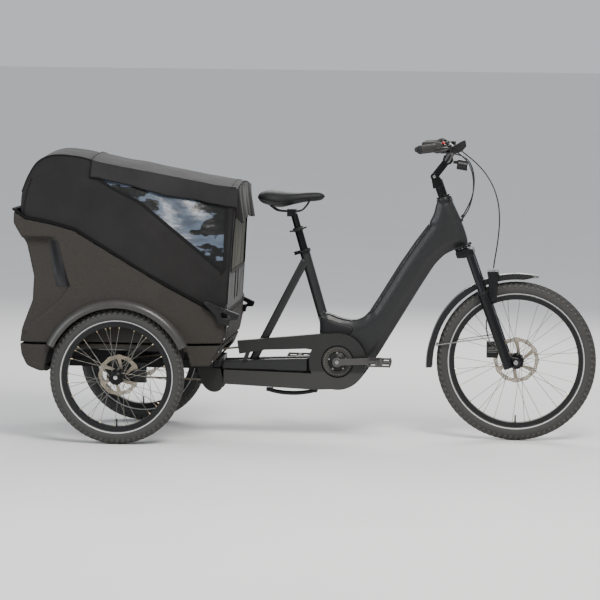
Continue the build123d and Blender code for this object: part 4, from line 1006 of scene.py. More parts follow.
def on_front(y, z, proud=0.0):
    """The point of the hood's front cloth at y, z, standing proud of it."""
    hit, _, _, _ = CLOTH.ray_cast(mm(700, y, z), Vector((-1, 0, 0)))
    x = hit.x if hit is not None else mm(430, 0, 0).x
    return Vector((x + proud / 1000, y / 1000, z / 1000))


def cloth_from(mesh, name, thickness):
    """A working copy of a cloth with its thickness."""
    obj = add_object(name, mesh.copy())
    modify(obj, "SOLIDIFY", thickness=thickness, offset=-1)
    bake(obj)
    return obj


CANOPY_THICKNESS = 0.0022
FILM_THICKNESS = 0.0008
hood = cloth_from(cloth_mesh, "hood_cloth", CANOPY_THICKNESS)
for side in (-1, 1):
    carve(hood, loose("opening", prism(SIDE_WINDOW, side * 225, side * BEYOND_CLOTH, "y")))
carve(hood, loose("opening", prism(FRONT_WINDOW, 385, BEYOND_CLOTH, "x")))
dress(hood, "canopy", "cargo_module", ["canopy_cover"], SOFT)


def window_pane(name, outline, low, high, axis, shift, finish, replaces=()):
    """A window's film: the cloth's own surface inside an outline, just behind the cloth."""
    pane = cloth_from(cloth_mesh, name, FILM_THICKNESS)
    carve(pane, loose("pane_cut", prism(grown(outline, 9), low, high, axis)), "INTERSECT")
    pane.data.transform(Matrix.Translation(shift))
    dress(pane, finish, "cargo_module", replaces, SOFT)


for name, side in SIDES:
    stands_for = ["canopy_windows"] if name == "right" else ()
    reach, shift = (side * 222, side * BEYOND_CLOTH), (0, -side * 0.0012, 0)
    window_pane(f"{name}_side_window", SIDE_WINDOW, *reach, "y", shift, "film", stands_for)
window_pane("front_window", FRONT_WINDOW, 380, BEYOND_CLOTH, "x", (-0.0012, 0, 0), "film_front")

# ---- roof cover, visor and trims of the hood ----
COVER_REAR = -125
COVER_FRONT = 444
# the cover's hanging side edge, as distance ahead and height
FLAP_EDGE = [(-146, 1042), (-123, 1023), (-25, 1006), (92, 977), (197, 951), (305, 938), (390, 920)]
FLAP_EDGE += [(444, 912)]
COVER_NOSE = 412
VISOR_DROP = 132
VISOR_HALF = 243
VISOR_STEPS = 14
FLAP_STEPS = 10


def side_half(place_along, z):
    """Half width of the hood's side at a height."""
    x, rim_half, seam_half, seam_z = hood_numbers(place_along)
    low = interpolate(RIM_LINE, x) + RAIL_TOP
    t = min(1.0, max(0.0, (z - low) / (seam_z - low)))
    return between(rim_half, seam_half, t) + SIDE_BULGE * 4 * t * (1 - t)


def cover_section(x):
    """The roof cover's cloth at a distance ahead: right flap, roof and left flap."""
    place_along = min(place_at(x), len(STATIONS) - 1.0)
    seam_half, seam_z = hood_numbers(place_along)[2:]
    seam_z += 3 - 0.15 * max(0, x - COVER_NOSE)
    edge = interpolate(FLAP_EDGE, x)
    right = []
    for t in shares(FLAP_STEPS):
        z = between(edge + 4 * noise.noise(Vector((x / 60, 3, 0))), seam_z, t)
        ripple = (1 - t) * (5 + 7 * noise.noise(Vector((x / 55, z / 90, 1.5))))
        right.append((x, side_half(place_along, z) + 4.5 + ripple, z))
    roof = []
    for j in range(1, ROOF_STEPS):
        u = 2 * j / ROOF_STEPS - 1
        swell = (ROOF_CROWN + 1.5) * (1 - u * u) + (1 - u * u) * crease(x, u * seam_half, 0, 90, 4)
        roof.append((x, u * (seam_half + 4), seam_z + swell))
    return [mm(px, -y, z) for px, y, z in right] + [mm(*p) for p in roof] + [mm(*p) for p in right[::-1]]


def thick_cloth(name, shape, finish):
    """A piece of cloth from one surface, given its thickness."""
    obj = loose(name, shape)
    modify(obj, "SOLIDIFY", thickness=0.002, offset=0)
    bake(obj)
    return dress(obj, finish, "cargo_module", (), SOFT)


cover_x = [COVER_REAR + i * (COVER_FRONT - COVER_REAR) / 60 for i in range(61)]
roof_cover = thick_cloth("roof_cover", skin([cover_section(x) for x in cover_x], around=False), "roof")


def visor_shape():
    """Cloth hanging from the cover's front edge, with a short return round each corner."""
    half = VISOR_HALF
    plan = [(402, -half), (420, -half - 3), (436, -half - 2), (445, -half + 6)]
    plan += [(447 + 3 * sin(i * 0.9), -half + 14 + i * (2 * half - 28) / 36) for i in range(37)]
    plan += [(445, half - 6), (436, half + 2), (420, half + 3), (402, half)]
    columns = []
    for i, (x, y) in enumerate(plan):
        seam_z = STATIONS[-1][3] + 3 - 0.15 * max(0, x - COVER_NOSE)
        top = seam_z + (ROOF_CROWN * (1 - (y / 240) ** 2) if abs(y) < 240 else 0) - 1
        corner = min(1.0, max(0.0, (x - 402) / 34))
        length = between(78, VISOR_DROP + 7 * noise.noise(Vector((i * 0.35, 0, 2))), corner)
        column = []
        for t in shares(VISOR_STEPS):
            fold = t**0.8 * 9 * sin(y / 21 + 1.3 * sin(y / 60)) * corner
            column.append(mm(x + 15 * t * corner + fold, y * (1 - 0.02 * t), top - length * t))
        columns.append(column)
    return skin(columns, around=False)


visor = thick_cloth("visor", visor_shape(), "canopy")

hood_piping = []
last_station = len(STATIONS) - 1
for side in (-1, 1):
    seam = []
    for t in shares(96):
        x, _, half, z = hood_numbers(t * last_station)
        lean = FRONT_LEAN * max(0.0, t * last_station - last_station + 1)
        seam.append(mm(x + lean, side * (half + 1.5), z + 1.5))
    hood_piping.append(tube(seam, 0.0028, 8))
    x, _, _, z = STATIONS[-1]
    corner = [on_side(x + FRONT_LEAN * t - 2, between(516, z - 4, t), side, 1.0) for t in shares(20)]
    hood_piping.append(tube(corner, 0.003, 8))
    rear = [on_side(-372 + 22 * t * t, between(880, 1015, t), side, 0.8) for t in shares(12)]
    hood_piping.append(tube(rear, 0.0025, 8))
    cover_edge = [cover_section(COVER_REAR + i * 9.3)[0 if side < 0 else -1] for i in range(62)]
    hood_piping.append(tube(cover_edge, 0.0026, 8))
hood_piping.append(tube(cover_section(COVER_REAR), 0.003, 8))
front_hem = [p + Vector((0, 0, 0.001)) for p in cover_section(420)[FLAP_STEPS:-FLAP_STEPS]]
hood_piping.append(tube(front_hem, 0.0016, 8))
place("hood_piping", joined(hood_piping), "binding", "cargo_module")


WINDOW_SILL = [(-104, 1022), (-70, 1001), (-33, 980), (20, 955), (73, 928), (150, 869), (229, 805)]
WINDOW_SILL += [(300, 747), (366, 692), (398, 668)]


def window_trim(name, side):
    """The doubled tape and zip along the side window's lower edge, its front tape and the zip's pull."""
    line = smooth_line([Vector(p) for p in WINDOW_SILL], 5)
    tape = strip([on_side(p.x, p.y - 4, side, 2.2) for p in line], 0.013, 0.0016, Vector((0, 0, 1)))
    zip_line = [on_side(p.x, p.y - 1, side, 3.4) for p in line]
    coil = tube(zip_line, [0.0016 + 0.0004 * (i % 2) for i in range(len(zip_line))], 8)
    place(f"{name}_window_tape", joined([tape, coil]), "binding", "cargo_module")
    ahead = Vector((1, 0, 0))
    up = [on_side(400 + 5 * t, between(676, 925, t), side, 2.0) for t in shares(10)]
    place(f"{name}_window_front_tape", strip(up, 0.012, 0.0016, ahead), "binding", "cargo_module")
    pull = on_side(392, 678, side, 4.5)
    tab = [pull + Vector((x, 0, z)) for x, z in ((0, 0), (-0.002, -0.012), (-0.005, -0.026))]
    place(f"{name}_zip_pull", strip(tab, 0.006, 0.002, ahead), "binding", "cargo_module", bevel=0.0005)


for name, side in SIDES:
    window_trim(name, side)

front_frame_line = [on_front(y, z, 2.0) for y, z in grown(FRONT_WINDOW, 3)]
place("front_window_tape", tube(front_frame_line + front_frame_line[:1], 0.003, 8), "binding", "cargo_module")
front_zips = []
for y in (-40, 40):
    zip_line = [on_front(y, z, 2.4) for z in range(545, 661, 12)]
    front_zips.append(strip(zip_line, 0.014, 0.002, Vector((0, 1, 0))))
place("front_panel_zips", joined(front_zips), "binding", "cargo_module")

# ---- seats inside ----
CHANNELS = (0.25, 0.5, 0.75)
CUSHION_WIDTH = 0.632


def cushion(name, origin, across, out, thickness, replaces=()):
    """A sewn pad: crowned, drawn in at its seam, with sewn channels, flat at the back."""
    along = Vector((0, CUSHION_WIDTH, 0))
    top, bottom = [], []
    for u in shares(44):
        top_row, bottom_row = [], []
        for v in shares(30):
            p, q = 2 * u - 1, 2 * v - 1
            edge = sqrt(max(0.0, 1 - abs(p) ** 7)) * sqrt(max(0.0, 1 - abs(q) ** 5))
            pinch = 0.012 * (1 - p**2) * q**5 + 0.006 * q**5
            base = origin + along * u + across * v - across.normalized() * pinch
            height = 0.35 * thickness + 0.65 * thickness * edge + 0.006 * edge * (1 - p**2)
            for channel in CHANNELS:
                height -= 0.009 * edge * exp(-(((u - channel) * along.length) / 0.006) ** 2)
            height += 0.0015 * edge * noise.noise(base * 22)
            top_row.append(base + out * height)
            bottom_row.append(base + out * (0.004 + 0.12 * thickness * (1 - edge)))
        top.append(top_row)
        bottom.append(bottom_row)
    rings = [t + b[::-1] for t, b in zip(top, bottom)]
    place(name, skin(rings, caps=True), "cushion", "cargo_module", replaces, SOFT)


bench_across, bench_out = Vector((0.326, 0, 0)), Vector((0, 0, 1))
cushion("bench_pad", mm(-250, -316, 439), bench_across, bench_out, 0.052, ["seat_cushions"])
back_up = mm(-334, 0, 780) - mm(-310, 0, 502)
cushion("back_pad", mm(-308, -316, 502), back_up, spun(1, radians(8)), 0.046)


def harness(name, middle):
    """Shoulder straps, crotch strap and buckle of one seat."""
    def webbing(line, width, thickness):
        points = smooth_line([mm(x, middle + y, z) for x, y, z in line], 5)
        return strip(points, width, thickness, Vector((0, 1, 0)))

    straps = []
    for side in (-1, 1):
        line = [(-282, side * 52, 770), (-268, side * 50, 690), (-258, side * 46, 610)]
        line += [(-238, side * 30, 540), (-190, side * 12, 508), (-158, 0, 500)]
        straps.append(webbing(line, 0.026, 0.0018))
        pad = [(-276, side * 51, 748), (-262, side * 49, 680), (-252, side * 46, 622)]
        straps.append(webbing(pad, 0.046, 0.009))
    straps.append(webbing([(-158, 0, 500), (-110, 0, 501), (-60, 0, 500), (-20, 0, 499)], 0.026, 0.0018))
    place(f"{name}_harness", joined(straps), "webbing", "cargo_module")
    buckle = button(mm(-160, middle, 500), (0.1, 0, 1), 0.019, 0.012, 20, 0.5)
    place(f"{name}_buckle", buckle, "trim", "cargo_module")


for name, middle in (("right_seat", -158), ("left_seat", 158)):
    harness(name, middle)

# ---- rounded castings and mouldings ----
# for each node, the voxel size, the rounds of smoothing and the share of faces that are kept
SOFTENED = {
    "box_shell": (0.0052, 5, 0.2),
    "box_base": (0.0052, 5, 0.2),
    "control_pods": (0.0014, 5, 0.3),
    "grips": (0.0016, 9, 0.3),
    "headlight": (0.0014, 5, 0.3),
    "rear_frame": (0.003, 12, 0.2),
    "fork_lowers": (0.002, 9, 0.25),
    "fork_upper": (0.002, 7, 0.3),
    "crank_arms": (0.0016, 8, 0.3),
    "drive_unit": (0.0025, 8, 0.25),
    "stem_base": (0.0014, 6, 0.3),
    "stem_link": (0.0014, 6, 0.3),
    "side_handles": (0.0025, 7, 0.3),
    "front_caliper": (0.0015, 6, 0.3),
    "rear_calipers": (0.0018, 6, 0.3),
    "tilt_housing": (0.0028, 7, 0.3),
    "differential_housing": (0.002, 6, 0.3),
}
# the side recess's upper edge and foot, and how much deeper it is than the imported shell's
RECESS_EDGE = [(-236, 779), (-217, 710), (-203, 655), (-186, 604)]
RECESS_FOOT = [(-277, 786), (-262, 712), (-247, 640), (-224, 560)]
RECESS_DEPTH = 32
RECESS_LOW, RECESS_TOP = 545, 795


def ease(t):
    """Rises smoothly from 0 to 1 as t does."""
    t = min(1.0, max(0.0, t))
    return t * t * (3 - 2 * t)


def along_line(line, z):
    """How far ahead a line of the recess lies at a height."""
    line = sorted(line, key=lambda p: p[1])
    for (xa, za), (xb, zb) in zip(line, line[1:]):
        if z <= zb:
            break
    return between(xa, xb, (z - za) / (zb - za))


def recess_depth(x, z):
    """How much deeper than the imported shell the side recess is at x, z."""
    edge, foot = along_line(RECESS_EDGE, z), along_line(RECESS_FOOT, z)
    across = ease((edge - x) / (edge - foot)) * ease((x + 418) / 30)
    return RECESS_DEPTH * across * ease((z - RECESS_LOW) / 190) * ease((RECESS_TOP - z) / 13)


def deepen_recess(mesh):
    """Pushes both faces of the box's wall in at the side recesses."""
    for v in mesh.vertices:
        x, z = v.co.x * 1000 - mm(0, 0, 0).x * 1000, v.co.z * 1000
        if x < -175 and RECESS_LOW < z < RECESS_TOP and abs(v.co.y) > 0.33:
            v.co.y -= (1 if v.co.y > 0 else -1) * recess_depth(x, z) / 1000


for node, (voxel, rounds, keep) in SOFTENED.items():
    softened(node, voxel, rounds, keep, deepen_recess if node == "box_shell" else None)

# ---- saddle ----
# along the saddle: distance ahead, height of the top, height of the lower edge, half width
SADDLE = [
    (502, 945, 938, 30),
    (508, 957, 927, 58),
    (520, 964, 918, 76),
    (547, 970, 909, 89),
    (590, 967, 902, 84),
    (640, 962, 914, 53),
    (690, 963, 925, 31),
    (730, 964, 929, 25),
    (752, 961, 934, 19),
    (763, 952, 944, 5),
]
RING_SIDES = 36


def saddle_rings():
    """Rings of points round the saddle from its back to its nose, with a shallow groove along the top."""
    rings = []
    for share in shares(60):
        x, top, low, half = (flowing(column, share * (len(SADDLE) - 1)) for column in zip(*SADDLE))
        skirt = between(low, top, 0.42)
        ring = []
        for a in angles(RING_SIDES):
            y = half * (abs(sin(a)) ** 0.8) * (1 if sin(a) >= 0 else -1)
            if cos(a) >= 0:
                groove = 5 * exp(-((y / 9) ** 2)) * exp(-(((x - 600) / 70) ** 2))
                z = skirt + (top - skirt) * cos(a) ** 0.72 - groove
            else:
                z = skirt - (skirt - low) * (-cos(a)) ** 0.6 * max(0.25, 1 - (abs(y) / (half + 1)) ** 2)
            ring.append(mm(x, y, z))
        rings.append(ring)
    return rings


saddle_form = saddle_rings()
saddle_skin = skin(saddle_form, caps=True)
place("saddle_cover", saddle_skin, "saddle", "inner_post", ["saddle"], SOFT)
RAIL_LINE = ((540, 26, 922), (562, 24, 902), (590, 22, 889), (664, 22, 889), (690, 18, 908), (706, 12, 934))
saddle_rails, skirt_seams = [], []
for side in (-1, 1):
    saddle_rails.append(tube(smooth_line([mm(x, side * y, z) for x, y, z in RAIL_LINE], 6), 0.0034, 10))
    widest = RING_SIDES // 4 if side > 0 else RING_SIDES * 3 // 4
    seam = [ring[widest] + Vector((0, side * 0.0006, 0)) for ring in saddle_form]
    skirt_seams.append(tube(seam, 0.0013, 6))
place("saddle_rails", joined(saddle_rails), "lamp", "inner_post")
place("saddle_seam", joined(skirt_seams), "binding", "inner_post")

# ---- front mudguard ----


def guard_rings(first, last, outer, half, thickness):
    """Cross sections of the blade round the wheel, from its narrowed front tip to its flared lower end."""
    rings = []
    for t in shares(60):
        flare = max(0.0, t - 0.82) / 0.18
        tip = ease(t / 0.1)
        across = [sin(pi / 2 * (k / 14 - 1)) for k in range(29)]
        ring = []
        for depth, row in ((0, across), (thickness, across[::-1])):
            for v in row:
                y = v * (half * (1 + 0.1 * flare) * between(0.7, 1, tip) - depth)
                drop = 0.006 * abs(v) ** 2.4 + between(0.002, 0.018, tip) * max(0, abs(v) - 0.9) / 0.1
                r = outer + flare * 0.008 - drop - depth
                ring.append(FRONT_CENTRE + spun(r, radians(between(first, last, t)), y))
        rings.append(ring)
    return rings


blade = skin(guard_rings(first=76, last=185, outer=0.349, half=0.034, thickness=0.0025), caps=True)
place("mudguard_blade", blade, "mudguard", "fork_lowers", ["mudguard"], CROWNED)
STAY_LINE = ((1452, 63, 412), (1440, 62, 411), (1300, 48, 388), (1222, 35, 374), (1212, 33, 371))
stays = []
for side in (-1, 1):
    stays.append(tube(smooth_line([mm(x, side * y, z) for x, y, z in STAY_LINE], 5), 0.0024, 10))
    stays.append(button(mm(1216, side * 31, 373), (-0.97, 0, -0.2), 0.005, 0.006, 12))
    stays.append(button(mm(1450, side * 60, 412), (0, side, 0), 0.006, 0.006, 6))
place("mudguard_stays", joined(stays), "steel", "fork_lowers")
BRIDGE = ((1412, 640), (1446, 640), (1444, 657), (1416, 657))
bridge = [[mm(x, y, z) for x, z in BRIDGE] for y in (-22, -16, 16, 22)]
place("mudguard_bracket", skin(bridge, caps=True), "fork", "fork_lowers", bevel=0.003)

# ---- drive chain ----
CHAIN_PITCH = 0.0127
RING_R, COG_R = 0.093, 0.0366


def on_circle(centre, r, a):
    return centre + r * Vector((cos(a), sin(a)))


def chain_path():
    """Points one pitch apart round the chainring and the rear sprocket."""
    ring, cog = Vector((CRANK_X / 1000, CRANK_Z / 1000)), Vector((0.0, REAR_RADIUS / 1000))
    line = ring - cog
    lift = atan2(line.y, line.x)
    spread = acos((RING_R - COG_R) / line.length)
    top, low = lift + pi - spread, lift - pi + spread
    straight = line.length * sin(spread)
    ring_arc = 2 * (pi - spread) * RING_R
    cog_arc = 2 * spread * COG_R
    total = 2 * straight + ring_arc + cog_arc
    count = round(total / CHAIN_PITCH)
    result = []
    for i in range(count):
        s = total * i / count
        if s < ring_arc:
            point = on_circle(ring, RING_R, low + s / RING_R)
        elif s < ring_arc + straight:
            s -= ring_arc
            point = on_circle(ring, RING_R, top).lerp(on_circle(cog, COG_R, top), s / straight)
        elif s < ring_arc + straight + cog_arc:
            point = on_circle(cog, COG_R, top + (s - ring_arc - straight) / COG_R)
        else:
            s -= ring_arc + straight + cog_arc
            point = on_circle(cog, COG_R, low).lerp(on_circle(ring, RING_R, low), s / straight)
        result.append(point)
    return result


def chain_links():
    """Paired link plates, every other pair inside its neighbours, with a pin at each joint."""
    parts = []
    points = chain_path()
    middle_y = CHAIN_Y / 1000
    for i, start in enumerate(points):
        end = points[(i + 1) % len(points)]
        along = (end - start).normalized()
        across = Vector((-along.y, along.x))
        outline = []
        for a in angles(12):
            middle = end if cos(a) > 0.01 else start if cos(a) < -0.01 else (start + end) / 2
            bulge = 0.0042 if abs(cos(a)) > 0.01 else 0.0034
            outline.append(middle + along * (bulge * cos(a)) + across * (bulge * sin(a)))
        inner = 0.0034 if i % 2 else 0.0024
        for side in (-1, 1):
            plate = [[at(p.x, middle_y + side * y, p.y) for p in outline] for y in (inner, inner + 0.0009)]
            parts.append(skin(plate, caps=True))
        pin = at(start.x, middle_y - 0.0046, start.y)
        parts.append(tube([pin, pin + Vector((0, 0.0092, 0))], 0.0019, 8))
    return joined(parts)


chain = place("drive_chain", chain_links(), "chain", None, ["chain_front", "chain_rear"])
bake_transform(chain)


def toothed_ring(name, centre, teeth, root, tip, body):
    """Teeth round a chainwheel."""
    flank = between(root, tip, 0.7)
    turns = angles(teeth * 4)
    half = 0.0012
    tooth = (root, flank, tip, flank)
    rings = [[centre + spun(tooth[i % 4], a, y) for i, a in enumerate(turns)] for y in (-half, half)]
    rings += [[centre + spun(root - 0.006, a, y) for a in turns] for y in (half, -half)]
    place(name, skin(rings, loop=True), "steel", body)


CRANK_CENTRE = mm(CRANK_X, 0, CRANK_Z)
toothed_ring("chainring_teeth", mm(CRANK_X, CHAIN_Y, CRANK_Z), 46, 0.0872, 0.0955, "crank")
toothed_ring("rear_sprocket_teeth", mm(0, CHAIN_Y, REAR_RADIUS), 18, 0.0312, 0.0392, "drive_sprocket")

# ---- main frame moulding ----
# the frame's outline from the side, in the order that it is followed
COVER_EDGE = [(948, 502), (988, 565), (1065, 692), (1122, 777), (1176, 850)]
COVER_DEPTH = 10
FRAME_REAR = [(752, 212), (752, 482), (778, 492), (832, 471), (885, 462), (925, 474)]
FRAME_HEAD = [(1195, 888), (1206, 940), (1256, 958), (1297, 873), (1320, 814), (1332, 767), (1270, 745)]
FRAME_UNDERSIDE = [(1238, 728), (1202, 690), (1145, 599), (991, 340), (937, 259), (900, 212)]


def crowned(mesh, reach, drop, least):
    """Rounds the flat sides of a solid moulding down towards its outline, where they stand past least."""
    rim = {(round(v.co.x, 3), round(v.co.z, 3)) for v in mesh.vertices if abs(v.normal.y) < 0.4}
    tree = KDTree(len(rim))
    for i, (x, z) in enumerate(sorted(rim)):
        tree.insert((x, 0, z), i)
    tree.balance()
    moves = []
    for v in mesh.vertices:
        if abs(v.normal.y) >= 0.4 and abs(v.co.y) >= least:
            t = max(0.0, 1 - tree.find((v.co.x, 0, v.co.z))[2] / reach)
            moves.append((v, (1 if v.co.y > 0 else -1) * drop * t**1.35))
    for v, shift in moves:
        v.co.y -= shift


def inside_edge(inset):
    """The cover's edge line moved square to itself into the moulding."""
    return [(x + inset * 0.838, z - inset * 0.546) for x, z in COVER_EDGE]


def frame_moulding():
    """The main frame's moulding with its seat tube, grown together and crowned."""
    cover = [COVER_EDGE[0]] + inside_edge(COVER_DEPTH) + [COVER_EDGE[-1]]
    outline = FRAME_REAR + cover + FRAME_HEAD + FRAME_UNDERSIDE
    seat_tube = tube([seat_at(up) for up in (-0.30, -0.15, -0.004)], 0.0208, 32)
    obj = loose("main_frame_form", joined([prism(rounded(outline, 16, 3), -34, 34, "y"), seat_tube]))
    modify(obj, "REMESH", mode="VOXEL", voxel_size=0.0032)
    modify(obj, "SMOOTH", factor=0.5, iterations=14)
    crowned(bake(obj), reach=0.034, drop=0.013, least=0.023)
    modify(obj, "SMOOTH", factor=0.5, iterations=12)
    modify(obj, "DECIMATE", ratio=0.22)
    bake(obj)
    return obj


main_moulding = dress(frame_moulding(), "frame", "front_frame", ["main_frame", "battery"], CAST)
FRAME_SKIN = surface_of(main_moulding.data)


def on_frame(x, z, side, proud=0.0):
    """The point of the main frame's side at x, z, standing proud of it."""
    hit = FRAME_SKIN.ray_cast(mm(x, side * 300, z), Vector((0, -side, 0)))[0]
    y = hit.y if hit is not None else side * 0.03
    return Vector((mm(x, 0, 0).x, y + side * proud, z / 1000))


# two thin raised lines along the battery cover's edge, in a lighter finish than the frame: painted highlight
# lines
lines = []
for side in (-1, 1):
    for inset in (17, 23):
        route = inside_edge(inset)
        end_x, end_z = route.pop()
        route = smooth_line([Vector(p) for p in route + [(end_x + 14, end_z + 20)]], 8)
        lines.append(tube([on_frame(p.x, p.y, side, 0.0001) for p in route], 0.0007, 6))
place("cover_highlight_lines", joined(lines), "bracket", "front_frame")
MOTOR_COVER = [(756, 470), (790, 461), (830, 450), (862, 445), (880, 437), (884, 424), (872, 410)]
MOTOR_COVER += [(856, 396), (756, 396)]
MOTOR_COVER_MIDDLE = Vector((815, 425))
covers, seams = [], []
for side in (-1, 1):
    edge = [Vector(p) for p in rounded(MOTOR_COVER, 6, 4)]
    route = [a.lerp(b, k / 4) for a, b in zip(edge, edge[1:] + edge[:1]) for k in range(4)]
    rings = [[on_frame(p.x, p.y, side, -0.0015) for p in route]]
    for share in (0.0, 0.03, 0.2, 0.4, 0.6, 0.8, 0.96):
        lift = 0.0002 if share == 0 else 0.0009
        rings.append([on_frame(*p.lerp(MOTOR_COVER_MIDDLE, share), side, lift) for p in route])
    covers.append(skin(rings, caps=True))
    seams.append(tube([on_frame(p.x, p.y, side, -0.0002) for p in route + route[:1]], 0.0014, 6))
place("motor_cover_plates", joined(covers), "facing", "front_frame", (), SOFT)
place("motor_cover_seam", joined(seams), "rail", "front_frame")

# ---- wheel arches and box trims ----


def arch_shape(side):
    """A rounded arch moulding over a rear wheel."""
    profile = [(300, 400.5), (299.5, 407), (297.5, 414), (294, 420), (289.5, 424.5), (284, 427.5)]
    profile += [(278, 429.5), (271, 430), (268, 429), (266, 426), (266, 424), (284, 421), (291, 414)]
    profile.append((294.5, 400.5))
    low = radians(24.6)
    rings = []
    for t in shares(60):
        a = between(low, pi - low, t)
        rings.append([mm(r * cos(a), side * y, REAR_RADIUS + r * sin(a)) for r, y in profile])
    return skin(rings, caps=True)


arches = joined([arch_shape(-1), arch_shape(1)])
place("arch_mouldings", arches, "arch", "cargo_module", ["wheel_arches"], CROWNED)


def box_half(x, z):
    """Half width of the box's outside."""
    half = 400 - 43 * max(0.0, z - 560) / 333
    if x < -330:
        half = min(half, 400 - 48 * (-330 - x) / 95)
    if x > 150:
        half = min(half, 400 - 100 * (x - 150) / 274)
    return half


def box_side(x, z):
    """Half width of the box's side with its recess."""
    half = box_half(x, z)
    if x < along_line(RECESS_EDGE, z):
        half = between(half, min(half, 382), ease((along_line(RECESS_EDGE, z) - x) / 12))
    return half - recess_depth(x, z)


facings = []
for side in (-1, 1):
    rows = []
    for t in shares(24):
        z = between(778, 606, t)
        edge, foot = along_line(RECESS_EDGE, z), along_line(RECESS_FOOT, z)
        across = [between(edge - 1, foot, t) for t in shares(8)]
        rows.append([mm(x, side * (box_side(x, z) + 2.2), z) for x in across])
    inner = [[p - Vector((0, side * 0.004, 0)) for p in row[::-1]] for row in rows]
    facings.append(skin([a + b for a, b in zip(rows, inner)], caps=True))
place("recess_facings", joined(facings), "facing", "cargo_module", (), CROWNED)

strips, bolts = [], []
for side in (-1, 1):
    route = [(405, 462), (399, 430), (386, 392), (368, 350), (345, 318)]
    route = smooth_line([Vector(p) for p in route], 5)
    line = [mm(x + 8, side * (box_half(min(x, 395), z) - 10), z) for x, z in route]
    strips.append(strip(line, 0.016, 0.004, Vector((0, 1, 0))))
    for t in (1, 8, 14, 19):
        bolts.append(button(line[t] + Vector((0.002, 0, -0.001)), (0.93, 0, -0.36), 0.0055, 0.004, 6))
place("edge_strips", joined(strips), "trim", "cargo_module", bevel=0.001)
place("edge_bolts", joined(bolts), "bolt", "cargo_module")

# ---- drive side ----


def crank_ring(name, spans, finish):
    """A ring round the crank's axis; spans are radius and distance to the drive side, in millimetres."""
    ring = turned_mm([(r, -y) for r, y in spans], CRANK_CENTRE, steps=64)
    place(name, ring, finish, "crank", (), CRISP)


COVER_SPANS = [(36, 57), (36, 60), (39, 64), (58, 66), (61.5, 64), (62, 60), (62, 57)]
crank_ring("chainring_cover", COVER_SPANS, "cover")
crank_ring("chainring_spider", [(12.2, 56), (12.2, 72), (20, 74), (32, 66), (35.6, 64), (35.6, 56)], "trim")
bolts = []
for a in angles(5):
    spot = CRANK_CENTRE + spun(0.0345, a + radians(21.6), -0.0645)
    bolts.append(button(spot, (0, -1, 0), 0.0038, 0.0022, 8))
for a in angles(30):
    bolts.append(button(CRANK_CENTRE + spun(0.052, a, -0.0652), (0, -1, 0), 0.0014, 0.0009, 6))
for side in (-1, 1):
    bolts.append(button(CRANK_CENTRE + Vector((0, side * 0.1035, 0)), (0, side, 0), 0.008, 0.003, 8))
place("crank_bolts", joined(bolts), "steel", "crank")

PEDAL_PLATE = [(-46, -6), (-38, -13), (38, -13), (46, -6), (46, 6), (38, 13), (-38, 13), (-46, 6)]
PEDAL_WINDOW = [(-13, -6), (13, -6), (13, 6), (-13, 6)]
PEDAL_BARREL = [(7.2, 108.5), (12.5, 108.5), (13, 112), (11, 122), (11, 196), (13, 206), (12.5, 211.8)]
PEDAL_BARREL += [(6, 211.8), (6, 207.5), (7.2, 207.5)]


def pedal_cage(end_x, end_z, side):
    """A platform pedal: windowed end plates, toothed side bars, cross ribs and a barrel on the axle."""
    parts = []
    end = mm(end_x, 0, end_z)
    plate = [(end_x + x, end_z + z) for x, z in rounded(PEDAL_PLATE, 3, 3)]
    for low, high in ((108.5, 114), (206, 211.5)):
        cage = loose("cage", prism(plate, side * low, side * high, "y"))
        for middle in (-27, 27):
            hole = [(end_x + middle + x, end_z + z) for x, z in rounded(PEDAL_WINDOW, 3, 3)]
            carve(cage, loose("hole", prism(hole, side * 100, side * 220, "y")))
        mesh = cage.data
        parts.append(([v.co.copy() for v in mesh.vertices], [tuple(p.vertices) for p in mesh.polygons]))
        bpy.data.objects.remove(cage)
    for edge in (-1, 1):
        for face in (-1, 1):
            teeth = []
            for k in range(31):
                x = edge * (0.0425 - 0.002 * (k % 2))
                teeth.append(end + Vector((x, side * between(0.112, 0.208, k / 30), face * 0.0098)))
            parts.append(tube(teeth, 0.0028, 6))
            for t in shares(5):
                spot = end + Vector((edge * 0.041, side * between(0.116, 0.204, t), face * 0.0115))
                parts.append(button(spot, (0, 0, face), 0.0022, 0.0045, 6))
    for y in (0.140, 0.160, 0.180):
        rib = [end + Vector((x, side * y, 0)) for x in (-0.042, -0.012, 0.012, 0.042)]
        parts.append(tube(rib, [0.0035, 0.006, 0.006, 0.0035], 8))
    parts.append(turned_mm([(r, side * y) for r, y in PEDAL_BARREL], end, steps=28))
    return joined(parts)


CRANK_LENGTH = 170
CRANK_TURN = radians(3)
for name, side in SIDES:
    reach = -side * CRANK_LENGTH
    cage = pedal_cage(CRANK_X + reach * cos(CRANK_TURN), CRANK_Z + reach * sin(CRANK_TURN), side)
    place(f"{name}_pedal_cage", cage, "pedal", f"{name}_pedal", [f"{name}_pedal"], CRISP)

LEG_LINE = ((738, 182), (712, 176), (664, 170), (610, 171), (566, 178), (546, 185))
LEG_PIVOT = [(0.1, -8), (7.5, -8), (9, -6), (9, 6), (7.5, 8), (0.1, 8)]
LEG_FOOT = ((-25, 176), (-9, 176), (-10, 190), (-24, 190))
leg = smooth_line([mm(x, -17, z) for x, z in LEG_LINE], 5)
widths = [between(0.0085, 0.0068, (2 * t - 1) ** 2) for t in shares(len(leg) - 1)]
foot = [[mm(x, y, z) for y, z in LEG_FOOT] for x in (543, 547, 566, 570)]
stand = [tube(leg, widths, 14), turned_mm(LEG_PIVOT, mm(738, -17, 182), steps=28), skin(foot, caps=True)]
place("kickstand_leg", joined(stand), "lamp", "kickstand", ["kickstand"], CROWNED)
bosses = [button(mm(738, -24, 182), (0, -1, 0), 0.007, 0.004, 8)]
bosses.append(button(mm(552, -24, 183), (0, -1, 0), 0.008, 0.004, 12))
